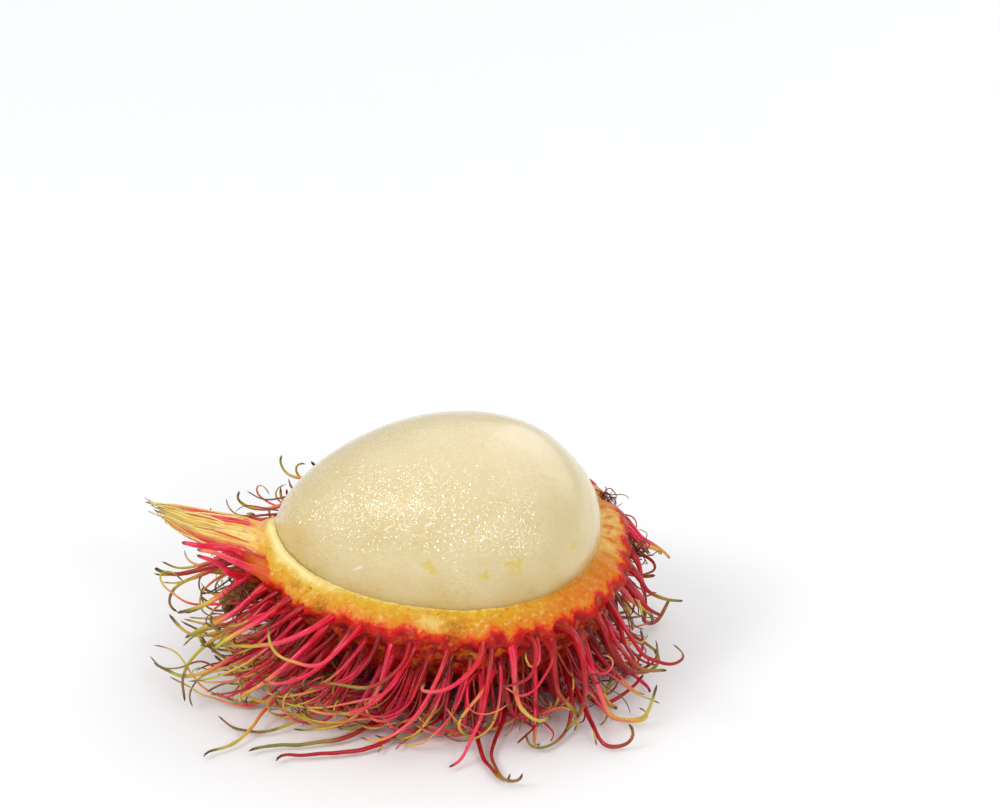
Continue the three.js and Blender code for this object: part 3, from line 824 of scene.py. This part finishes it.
def peel_mesh(roots):
    """The cup of peel: its skin, its cut face and its lining as one closed mesh."""
    angle = ring_angles(ANGLES)
    outer_top, inner_top = cut_edges(angle)
    skin, mound, run_down = skin_rows(angle, outer_top, roots)
    cut, across, crest = cut_rows(angle, inner_top, skin[-1])
    lining_share = np.linspace(0, 1, LINING_ROWS + 2)[1:-1, None]
    lining_polar = inner_top + (-np.pi / 2 - inner_top) * lining_share
    lining = on_egg(ring_direction(np.sin(lining_polar), angle), EGG_INNER)
    rows = np.concatenate([skin, cut, lining])
    pole_out, pole_in = (on_egg(ring_direction(-1.0, 0.0), egg) for egg in (EGG_OUTER, EGG_INNER))
    pole_out[2] = max(pole_out[2], 0)
    points = np.vstack([rows.reshape(-1, 3), pole_out, pole_in])

    from_bruise = size_of((rows - BRUISE) / BRUISE_SIZE) + 0.5 * wobble(rows, 0.9, 8)
    fields = {key: np.zeros(rows.shape[:2]) for key in ("across", "mound", "crest", "blunt_end", "ring_x", "ring_y")}
    fields["across"][ON_SKIN] = 1 + run_down
    fields["across"][ON_CUT] = across
    fields["mound"][ON_SKIN] = mound
    fields["crest"][ON_CUT] = crest
    fields["blunt_end"] += 1 - eased(apart(angle, 0.1), 0.2, 0.5)
    fields["ring_x"] += RING_RADIUS * np.cos(angle)
    fields["ring_y"] += RING_RADIUS * np.sin(angle)
    fields["near_root"] = by_roots(rows, angle, roots)
    fields["bruise"] = BRUISE_STRENGTH * (1 - eased(from_bruise, 0.2, 1.0))
    fields["browned"] = browning(rows)
    numbers = {key: np.concatenate([field.ravel(), [0.0, 0.0]]) for key, field in fields.items()}
    numbers["across"][-2] = 8.0  # the underside's pole is far from the cut
    return make_object("peel_cup", points, closed_faces(len(rows), ANGLES), peel_material(), numbers)


# ---- The spines ----
BURIED = 1.8  # how far a spine goes on inside the peel
BURIED_RADIUS = 0.35  # of the radius that it has outside
ROOT_LEAN = 0.4
ROOT_SINK = 1.5
ROOT_SINK_REACH = 1.8
FLARE_REACH = 1.5
TIP_ROUNDING = 0.03
KINKS = np.array([0.25, 0.25, 0.15])
FLATTENING = (0.65, 1.0)
STAIN_PLACE = 0.9
STAIN_STRENGTH = 0.9
# The share of spines that stay dark red, and how much more of them do at the blunt end.
DARK_SHARE = 0.18
DARK_SHARE_RISE = 0.42
DRIED_SHARE = 0.25  # of the spines at the blunt end, at most
DRIED_LEAST = 0.35
MAIN_POINTS = 46
MAIN_SIDES = 10
STOUT_SIDES = 16


def spine_radii(length, radius, count, flare=1.0, tip_share=0.4, buried=BURIED):
    """Radii along a spine: flared where it meets the skin, then an even taper, then a quick one at the tip."""
    run = np.linspace(-buried, length - buried, count)
    share = np.clip(run / (length - buried), 0, 1)
    taper = 1 - (1 - tip_share) * share**0.9
    tip = np.sqrt(np.clip((1 - share) / TIP_ROUNDING, 0, 1)) * 0.8 + 0.2
    sunk = BURIED_RADIUS + (1 - BURIED_RADIUS) * eased(run, -buried, -0.1)
    return radius * sunk * (taper * tip + flare * np.exp(-((np.clip(run, 0, None) / FLARE_REACH) ** 1.2)))


def spine_line(points, radius, count):
    """A spine's line with its root led into the peel and small kinks along it, and the line's length."""
    points = smoothed(points, 2)
    points[0] = points[1] + unit(unit(points[0] - points[1]) - ROOT_LEAN * CUT_NORMAL) * BURIED
    line = resampled(points, count)
    length = size_of(np.diff(line, axis=0)).sum()
    kinks = wobble(line, 5.0, 31, 2)[:, None] * KINKS
    line = line + kinks * eased(np.linspace(0, 1, count), 0.1, 0.6)[:, None]
    run = np.clip(np.linspace(0, length, count) - BURIED, 0, None)
    inwards = -egg_normal(points[1], EGG_OUTER) - 0.8 * CUT_NORMAL
    return line + ROOT_SINK * radius * np.exp(-run / ROOT_SINK_REACH)[:, None] * inwards, length


def add_spine(bundle, points, radius, sides, count, chance, dry=0.0, flare=0.9, tip_share=0.4, ripe=None,
              stained=0.14, fade=None, blush=0.0):
    """A spine's tube with its colouring. fade is the place in the spine's colours that its tip has."""
    line, length = spine_line(points, radius, count)
    radii = spine_radii(length, radius, count, flare, tip_share)
    line[6:, 2] = np.maximum(line[6:, 2], radii[6:] + 0.05)
    radii = radii * (1 + 0.12 * wobble(line + chance.between(0, 40), 1.5, 32, 2))
    squash, roll = chance.between(*FLATTENING), chance.between(0, 3)
    verts, faces, share, round_place = tube(line, radii, sides, squash, roll)
    share = np.clip((share * length - BURIED) / (length - BURIED), 0, 1)
    strength = STAIN_STRENGTH if chance.next() < stained else 0.0
    stain = np.exp(-(((share * length - STAIN_PLACE) / STAIN_PLACE) ** 2)) * strength
    is_dark = chance.next() < DARK_SHARE + DARK_SHARE_RISE * float(eased(line[0, 0], 0, 14))
    if chance.next() < DRIED_SHARE * float(eased(line[0, 0], 8, 18)):
        dry = max(dry, DRIED_LEAST)
    if fade is None:
        fade = chance.between(0.7, 1.04) + 0.22 * float(eased(-line[-1, 0], 24, 34))
    bundle.add(
        verts, faces, along=share * fade, tip=share, shade=chance.between(-1, 1), dry=dry, stain=stain, blush=blush,
        ripe=is_dark if ripe is None else ripe, **round_place,
    )


def peel_spines(spines):
    """The main spines, which the CAD part has too."""
    chance = RandomStream(41)
    bundle = Bundle()
    first_stout = len(spines) - len(STOUT_SPINES)
    first_long = first_stout - len(LONG_SPINES)
    for i, (points, radius) in enumerate(spines):
        if i < first_stout:
            stained = 0.35 if i < RIM_SPINES or i >= first_long else 0.1
            ripe = 1 if i - first_long in DARK_LONG_SPINES else None
            add_spine(bundle, points, radius, MAIN_SIDES, MAIN_POINTS, chance, ripe=ripe, stained=stained)
        else:
            add_spine(
                bundle, points, radius, STOUT_SIDES, MAIN_POINTS, chance, tip_share=0.3, ripe=0, stained=0, fade=0.6,
                blush=1.0,
            )
    return bundle.build("peel_spines", spine_material())


# Thin spines that cross over the others, each from its root to its tip.
THIN_SPINES = [
    [(-24.5, -8, 13.5), (-33, -5, 12), (-36, -5, 12), (-39, -4.5, 13.5), (-40.5, -4, 15), (-40, -3.5, 16),
     (-38, -3.5, 15.5), (-37, -3.5, 14.5)],
    [(-13.5, -13.5, 9), (-15.5, -17, 8), (-21.5, -17, 5.5), (-25, -15, 4), (-27, -14, 4.5)],
    [(-8, -16, 10), (-10.5, -20.5, 8), (-15, -21, 6.5), (-20, -19, 4.5), (-24, -17, 4), (-25.5, -16.5, 5)],
    [(-5.5, -11.5, 5), (-10, -17, 3), (-15, -19.5, 3), (-19.5, -19, 2.5), (-22, -17.5, 2.5), (-22.5, -17, 3.5)],
    [(-4, -12, 3.5), (-7, -17, 2.2), (-10.5, -19.5, 2.5), (-13, -20.5, 2.5), (-15, -22.5, 4.5), (-16, -21, 3.5)],
    [(-26, -9.5, 3.5), (-30.5, -11, 2), (-33.5, -11, 2), (-36, -10, 4), (-38, -8.5, 7), (-41, -8, 7.5)],
    [(-24, -10, 3), (-27.5, -11.5, 1), (-31, -11.5, 1), (-34.5, -11.5, 2), (-36.5, -10.5, 3), (-39, -10, 4)],
    [(-27.5, -8, 6.5), (-32, -9, 5), (-35, -9, 6), (-37.5, -9.5, 5), (-40, -9.5, 5), (-41.5, -9, 6.5)],
    [(-27, -8, 6), (-31, -9, 5), (-33.5, -9.5, 4.5), (-35.5, -10, 3.5), (-36.5, -11.5, 2), (-36, -12.5, 1)],
    [(9.5, -16.5, 12.5), (10, -20, 12), (9, -22.5, 11), (7.5, -24.5, 10), (5.5, -26.5, 10.5), (3.5, -28, 13)],
    [(2, -16, 8), (-0.5, -22, 10), (-1, -25.5, 10), (-0.5, -26, 8), (1.5, -25.5, 7), (3.5, -25.5, 8),
     (4.5, -26.5, 9.5)],
    [(13, -10.5, 4), (14, -15.5, 3), (15.5, -22.5, 0.8)],
    [(15, -8.5, 5.5), (18, -12, 4.5), (21, -14, 3.5), (24, -15.5, 3)],
    [(15, -11, 3.5), (17, -16.5, 2), (19.5, -17.5, 1.2), (21.5, -18, 1.5), (22.5, -17.5, 2.5), (21, -18.5, 3.8)],
    [(19.5, -7, 8.5), (21, -9, 6), (23, -10.5, 5.5), (24, -11.5, 6.5), (23.5, -12.5, 8)],
    [(14.5, -9, 7.5), (15, -17, 9), (16, -19, 9), (17.5, -20.5, 11), (17, -21, 13), (16, -21, 13)],
    [(8.5, -17.5, 14), (8.5, -21, 12.5), (7.5, -22.5, 12.5), (6.5, -24.5, 14.5), (6.5, -24.5, 15.5)],
    [(21, 2.5, 17.5), (22, 1.5, 15.5), (23.5, 0.5, 14.5), (23.5, 0, 13.5), (22, -1, 13.5)],
    [(21, -1, 16), (22, -2.5, 13.5), (22.5, -3.5, 11.5), (22.5, -4, 10)],
    [(20, -3.5, 15.5), (21, -5.5, 13), (22, -7, 10.5)],
    [(17.5, -8.5, 6), (18.5, -12, 5), (20.5, -13, 3.5), (22, -13.5, 3)],
]

THIN_RADIUS = (0.24, 0.34)
EXTRA_RADIUS = (0.24, 0.38)
# The thinner spines between the main ones: their roots' top height, how many places, and their longest length.
EXTRA_SITES = ((-0.14, 440, 1.05), (-0.35, 420, 1.25))
EXTRA_LOWEST_ROOT = 1.5
SPARSE_END = 0.45  # past this place along the fruit, half of them are left out
DRY_SITES = 540
DRY_TOP_HEIGHT = -0.14
DRY_RADIUS = (0.11, 0.22)
# The tangles of dried threads, two at the blunt end and one by the stub: middle, reach and how many threads.
TANGLES = [((17.2, 7.5, 19.6), 0.7, 36), ((21.6, 1, 15.8), 0.8, 26), ((-29.5, -6, 14.5), 1.0, 14)]
THREAD_STEP = 0.3
THREAD_STEPS = (9, 22)
THREAD_RADIUS = (0.2, 0.36)


def extra_sites(random, count, top_height):
    """Loosely spread directions over the cup."""
    tries = [lengthwise_direction(random.between(-1, 1), random.between(0, 2 * math.pi)) for _ in range(count)]
    return [
        direction for direction in tries
        if direction @ CUT_NORMAL < top_height and on_egg(direction, EGG_OUTER)[2] > EXTRA_LOWEST_ROOT
    ]


def curled_thread(middle, reach, random):
    """A short dried thread that curls round on itself near a place."""
    start = np.array(middle) + random.vector(reach)
    forward = unit(random.vector(1))
    axis = unit(np.cross(forward, random.vector(1)))
    turn = random.between(0.6, 1.9) * (1 if random.next() < 0.5 else -1)
    points = [start]
    for _ in range(int(random.between(*THREAD_STEPS))):
        forward = turned(forward, axis, turn * 0.4)
        axis = unit(axis + 0.6 * random.vector(1))
        points.append(points[-1] + forward * THREAD_STEP)
    return np.array(points)


def small_spines():
    """The thinner spines between the main ones."""
    random = RandomStream(23)
    bundle = Bundle()
    for route in THIN_SPINES:
        add_spine(bundle, routed(route), random.between(*THIN_RADIUS), 8, MAIN_POINTS, random)
    for top_height, count, longest in EXTRA_SITES:
        for direction in extra_sites(random, count, top_height):
            if direction[0] > SPARSE_END and random.next() < 0.5:
                continue
            line = grown_line(under_the_cut(direction), random, random.between(0.7, longest), 1.2)
            add_spine(bundle, line, random.between(*EXTRA_RADIUS), 8, 30, random)
    return bundle.build("peel_small_spines", spine_material())


def dried_threads():
    """The thin dried threads among the spines, and the places where they are tangled."""
    random = RandomStream(29)
    bundle = Bundle()
    for direction in extra_sites(random, DRY_SITES, DRY_TOP_HEIGHT):
        line = grown_line(under_the_cut(direction), random, random.between(0.45, 1.0), 2.4)
        add_spine(bundle, line, random.between(*DRY_RADIUS), 6, 36, random, dry=random.between(0.4, 1.0), flare=0.5)
    for middle, reach, count in TANGLES:
        for _ in range(count):
            line = curled_thread(middle, reach, random)
            radii = spine_radii(len(line) * THREAD_STEP, random.between(*THREAD_RADIUS), len(line), 0.0, 0.5, 0.0)
            verts, faces, share, _ = tube(line, radii, 6)
            bundle.add(
                verts, faces, along=share, tip=share, shade=random.between(-1, 1), dry=random.between(0.7, 1),
                stain=0, blush=0, ripe=1, round_x=share, round_y=share,
            )
    return bundle.build("peel_dried_threads", spine_material())


# ---- The aril ----
ARIL_COLUMNS = 320
ARIL_ROWS = 199
STRAND_PLACE = np.array([2.2, 14, 14])  # short along the fruit, so that its pattern is drawn out into strands
FLECKS = [((-5.3, -15.0, 22.6), 1.1), ((1.6, -15.3, 21.3), 0.9), ((5.3, -14.4, 22.3), 1.5), ((12.8, -9.7, 22.4), 0.9)]
# The white scratch on the near side.
SCRATCH_START = np.array([-15.1, -12.1, 20.6])
SCRATCH_END = np.array([-14.1, -12.5, 21.2])
SCRATCH_WIDTH = 0.25
# Where the film of juice is grainiest.
FILM_SIDE = np.array([-0.35, -0.8, 0.6])
FAR_FILM_SIDE = np.array([0, 0.88, -0.47])
LEAST_FILM = 0.1
FILM_ROUGHNESS = 0.08
BARE_ROUGHNESS = 0.17  # what the surface gains where it has no film


def fleck_shares(verts):
    """Where the scraps of seed coat are."""
    ragged = 0.9 * wobble(verts, 0.8, 14, 4)
    distances = [size_of(verts - place) / size for place, size in FLECKS]
    return np.max([eased(1.0 - far + ragged, 0.2, 0.7) * (far < 2) for far in distances], axis=0)


def scratch_share(verts):
    run = SCRATCH_END - SCRATCH_START
    along = np.clip((verts - SCRATCH_START) @ run / np.sum(run**2), 0, 1)
    far = size_of(verts - SCRATCH_START - along[:, None] * run)
    return 1 - eased(far / SCRATCH_WIDTH, 0.4, 1.0)


def aril_mesh():
    """The whole flesh: an egg that swells a little unevenly."""
    angle = ring_angles(ARIL_COLUMNS)
    polar = np.linspace(0, np.pi, ARIL_ROWS + 2)[1:-1, None]
    ring = np.sin(polar)
    direction = np.stack([np.cos(polar) + 0 * angle, ring * np.cos(angle), ring * np.sin(angle)], -1)
    points = on_egg(direction, EGG_ARIL)
    strands = direction * STRAND_PLACE
    swell = 0.12 * wobble(points, 9.0, 11, 2) - 0.02 + 0.03 * wobble(strands, 1.6, 12, 2)
    end = eased(direction[..., 0], 0.86, 1.0)
    swell = swell + 0.1 * end * wobble(strands * np.array([3.0, 1, 1]), 1.5, 13, 2)
    points = points + egg_normal(points, EGG_ARIL) * swell[..., None]
    end_directions = np.array([[1.0, 0, 0], [-1.0, 0, 0]])
    verts = np.vstack([points.reshape(-1, 3), on_egg(end_directions, EGG_ARIL)])
    strands = np.vstack([strands.reshape(-1, 3), end_directions * STRAND_PLACE])
    slant = egg_normal(verts, EGG_ARIL)
    near_film = eased(slant @ unit(FILM_SIDE), 0.35, 0.8)
    film = np.maximum(near_film, eased(slant @ unit(FAR_FILM_SIDE), 0.1, 0.7))
    numbers = {
        "height": ((verts - CENTRE) @ CUT_NORMAL) / ARIL_RADIUS,
        "fleck": fleck_shares(verts),
        "scratch": scratch_share(verts),
        "film": LEAST_FILM + (1 - LEAST_FILM) * film,
        "matt": FILM_ROUGHNESS + BARE_ROUGHNESS * (1 - film) ** 2,
        **{"strand_" + axis: strands[:, k] for k, axis in enumerate("xyz")},
    }
    # The rows run away from the blunt end, so each face is turned round its first corner to look outwards.
    faces = [[first, *others[::-1]] for first, *others in closed_faces(ARIL_ROWS, ARIL_COLUMNS)]
    return make_object("aril_flesh", verts, faces, aril_material(), numbers)


# ---- The tongue ----
TONGUE_UPPER_EDGE = [(-25, 1.2, 19.6), (-27.5, 1.4, 20.6), (-33, 0.3, 22.4), (-38, -1.2, 24.1), (-40, -1.8, 24.6)]
TONGUE_LOWER_EDGE = [
    (-25.2, -4.8, 17.9), (-27.8, -5.4, 18.9), (-33, -5, 20.1), (-36.2, -4.2, 21.1), (-39.2, -3.2, 22.7),
]
TONGUE_UP = np.array([0.2, -0.35, 0.92])
TONGUE_ROWS = 64
TONGUE_COLUMNS = 132
TONGUE_EDGE_POINTS = 60
TONGUE_RIDGES = 9
RIDGE_HEIGHT = 0.48
TONGUE_BOW = 0.9
TONGUE_THICKNESS = (1.9, 0.5)  # at its root and at its end
# The colour across it from its lower edge to its upper one: places and their shares, cream to red.
BAND_PLACES = (0, 0.12, 0.3, 0.55, 0.68, 0.86, 1)
BAND_SHARES = (0.85, 0.5, 0.25, 0.08, 0.6, 0.75, 0.15)
TONGUE_STRANDS = 16
STRAND_POINTS = 40
STRAND_RADIUS = (0.3, 0.46)


def edge_place(along, corners):
    edge = resampled(corners, TONGUE_EDGE_POINTS)
    places = np.linspace(0, 1, TONGUE_EDGE_POINTS)
    return np.stack([np.interp(along, places, edge[:, k]) for k in range(3)], -1)


def tongue_surface(along, width):
    """The tongue's top at a share of its length and of its width, with a ridge for each fused spine."""
    top, low = edge_place(along, TONGUE_UPPER_EDGE), edge_place(along, TONGUE_LOWER_EDGE)
    point = low + (top - low) * width[..., None]
    drift = width + 0.03 * np.sin(along * 7 + width * 5)
    ridge = np.abs(np.sin(np.pi * TONGUE_RIDGES * drift)) ** 0.8
    bow = TONGUE_BOW * np.sin(np.pi * width) * (1 - 0.4 * along)
    rise = RIDGE_HEIGHT * ridge * eased(along, 0.1, 0.35) + bow
    return point + rise[..., None] * TONGUE_UP


def add_tongue_sheet(bundle):
    rows, columns = TONGUE_ROWS, TONGUE_COLUMNS
    along = np.linspace(0, 1, rows)[:, None] + np.zeros((1, columns))
    width = np.linspace(0, 1, columns)[None] + np.zeros((rows, 1))
    top = tongue_surface(along, width)
    thick = TONGUE_THICKNESS[0] + (TONGUE_THICKNESS[1] - TONGUE_THICKNESS[0]) * along
    thick = thick * np.sqrt(np.clip(1 - (2 * width - 1) ** 2, 0, 1))
    under = (top - thick[..., None] * TONGUE_UP)[:, -2:0:-1]
    rings = np.concatenate([top, under], axis=1)
    length_round = rings.shape[1]
    faces = ring_faces(rows, length_round)
    faces.append(list(range(length_round))[::-1])
    faces.append(list(range((rows - 1) * length_round, rows * length_round)))
    share = np.broadcast_to(along[:, :1], (rows, length_round)) * 0.8
    across = np.concatenate([width, width[:, -2:0:-1]], axis=1)
    band = np.interp(across, BAND_PLACES, BAND_SHARES)
    band = band + 0.3 * wobble(np.stack([across * 9, share * 1.2, 0 * share], -1), 1.0, 51, 2)
    beneath = np.concatenate([np.zeros((rows, columns)), np.ones((rows, columns - 2))], axis=1)
    low_edge = np.maximum(beneath, 1 - eased(across, 0.02, 0.16)) * (1 - 0.8 * eased(share, 0.3, 0.7))
    bundle.add(
        rings.reshape(-1, 3), faces, along=share.ravel(), band=band.ravel(), under=low_edge.ravel(),
        round_x=across.ravel() * 12, round_y=0.0,
    )


def add_tongue_strand(bundle, i, chance):
    """A loose strand that lies on the tongue and sticks out past its end."""
    place = (i + 0.5 + chance.between(-0.3, 0.3)) / TONGUE_STRANDS
    start = chance.between(0.15, 0.6)
    run = np.linspace(start, 1, 7)
    line = tongue_surface(run, np.clip(place + 0.05 * np.sin(run * 6 + i), 0, 1)) + TONGUE_UP * 0.02
    heading = unit(line[-1] - line[-2])
    spread = np.array([0, chance.between(-0.35, 0.35), chance.between(-0.2, 0.35)])
    reach = chance.between(0.6, 2.6)
    ends = [line[-1] + (heading + spread * step) * reach * step for step in (0.5, 1.0)]
    line = resampled(np.vstack([line, ends]), STRAND_POINTS)
    radii = spine_radii(1, chance.between(*STRAND_RADIUS), STRAND_POINTS, flare=0.0, tip_share=0.5, buried=0.0)
    radii = radii * eased(np.linspace(0, 1, STRAND_POINTS), -0.2, 0.2)
    verts, faces, share, round_place = tube(line, radii, 8)
    band = chance.between(0, 1) ** 2 * 0.7
    bundle.add(verts, faces, along=start + (1 - start) * share, band=band, under=0.0, **round_place)


def tongue_mesh():
    """The torn strip at the stalk end, whose spines have grown together."""
    chance = RandomStream(5)
    bundle = Bundle()
    add_tongue_sheet(bundle)
    for i in range(TONGUE_STRANDS):
        add_tongue_strand(bundle, i, chance)
    return bundle.build("peel_tongue", tongue_material())


# ---- The stub ----
STUB_RADIUS = 2.1
STUB_TAPER = 0.75
STUB_LENGTH = 8.0
STUB_PROUD = 6.0
STUB_ROWS = 44
STUB_SIDES = 60


def stalk_mesh():
    """The dry stub of the stalk, rough all over and frayed at its end."""
    foot = on_egg(STALK_DIRECTION, EGG_OUTER)
    out = egg_normal(foot, EGG_OUTER)
    line = foot + np.linspace(STUB_PROUD - STUB_LENGTH, STUB_PROUD, STUB_ROWS)[:, None] * out
    radii = np.linspace(STUB_RADIUS, STUB_RADIUS * STUB_TAPER, STUB_ROWS)
    verts, faces, along, _ = tube(line, radii, STUB_SIDES)
    offset = verts - (foot + ((verts - foot) @ out)[:, None] * out)
    rough = 0.96 + 0.2 * wobble(verts, 0.9, 21) + 0.16 * wobble(verts, 0.35, 22)
    verts = verts + offset * (rough - 1)[:, None]
    verts = verts + out * (0.7 * wobble(verts, 0.6, 23) * (along > 0.97))[:, None]
    return make_object("stalk_stub_dry", verts, faces, stalk_material())


# ---- Camera, floor and light ----
PICTURE_WIDTH = 1000
PICTURE_HEIGHT = 808
FRUIT_MIDDLE_PIXEL = (437.5, 531.0)
PIXELS_PER_MM = 7.75
CAMERA_ELEVATION = math.radians(28)
CAMERA_DISTANCE = 600.0
SENSOR_WIDTH = 36.0
FLOOR_HALF = 3000
SKY_AT_HORIZON = 0.36
SKY_OVERHEAD = 0.98
LIT_PLACE = Vector((0, 0, 0.02))  # that the lamps face, in metres
# The lamps, in metres and watts: place, size and power.
LAMPS = {
    "key": ((-0.53, -0.32, 0.57), (0.42, 0.3), 1.8),
    "key_glint": ((-0.52, -0.33, 0.57), (0.1, 0.07), 0.3),
    "front": ((0.4, -0.75, 0.5), (0.4, 0.3), 1.3),
    "front_glint": ((0.38, -0.76, 0.5), (0.09, 0.06), 0.6),
    "back": ((0.5, 0.6, 0.45), (0.9, 0.7), 1.7),
}


def aimed(name, data, place, direction):
    """A camera or a lamp as an object at a place, in metres, that looks along a direction."""
    made = bpy.data.objects.new(name, data)
    made.location = place
    made.rotation_mode = "QUATERNION"
    made.rotation_quaternion = Vector(direction).to_track_quat("-Z", "Y")
    bpy.context.scene.collection.objects.link(made)
    return made


def add_camera():
    """Puts the fruit's middle at its pixel in the picture, at its scale there."""
    backwards = np.array([0, -math.cos(CAMERA_ELEVATION), math.sin(CAMERA_ELEVATION)])
    upwards = np.array([0, math.sin(CAMERA_ELEVATION), math.cos(CAMERA_ELEVATION)])
    eye = CENTRE + backwards * CAMERA_DISTANCE
    right_by = (PICTURE_WIDTH / 2 - FRUIT_MIDDLE_PIXEL[0]) / PIXELS_PER_MM
    up_by = (FRUIT_MIDDLE_PIXEL[1] - PICTURE_HEIGHT / 2) / PIXELS_PER_MM
    aim = CENTRE + np.array([right_by, 0, 0]) + upwards * up_by
    data = bpy.data.cameras.new("camera")
    data.sensor_width = SENSOR_WIDTH
    data.lens = PIXELS_PER_MM * size_of(aim - eye) * SENSOR_WIDTH / PICTURE_WIDTH
    data.clip_start = 0.01
    data.clip_end = 20
    bpy.context.scene.camera = aimed("camera", data, eye * MM, aim - eye)


def add_floor():
    corners = np.array([(-1, -1, 0), (1, -1, 0), (1, 1, 0), (-1, 1, 0)]) * FLOOR_HALF
    floor = make_object("floor", corners, [[0, 1, 2, 3]], floor_material(), smooth=False)


def add_light():
    """A white sky that is darker towards the horizon, and the lamps."""
    world = bpy.data.worlds.new("studio")
    world.use_nodes = True
    sky = Nodes(world.node_tree)
    height = sky.node("SeparateXYZ", "Z", {"Vector": sky.node("TexCoord", "Generated", {})})
    strength = sky.span(height, 0, 1, SKY_AT_HORIZON, SKY_OVERHEAD)
    sky.feed(sky.tree.nodes["Background"].inputs, {"Color": (1, 1, 1, 1), "Strength": strength})
    bpy.context.scene.world = world
    bpy.context.scene.view_settings.view_transform = "Standard"
    for name, (place, size, power) in LAMPS.items():
        data = bpy.data.lights.new(name, "AREA")
        data.shape = "RECTANGLE"
        data.size, data.size_y = size
        data.energy = power
        aimed(name, data, place, LIT_PLACE - Vector(place))


# ---- Assembly ----
def main():
    spines = all_spines()
    roots = [points[1] - MOUND_DROP * CUT_NORMAL for points, _ in spines]
    peel_pieces = [peel_mesh(roots), peel_spines(spines), small_spines(), dried_threads(), tongue_mesh()]
    for piece in peel_pieces:
        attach(piece, "root")
        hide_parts("peel")
    aril = aril_mesh()
    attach(aril, "root")
    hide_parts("aril")
    stub = stalk_mesh()
    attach(stub, "root")
    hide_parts("stalk_stub")
    add_floor()
    add_light()
    add_camera()


main()
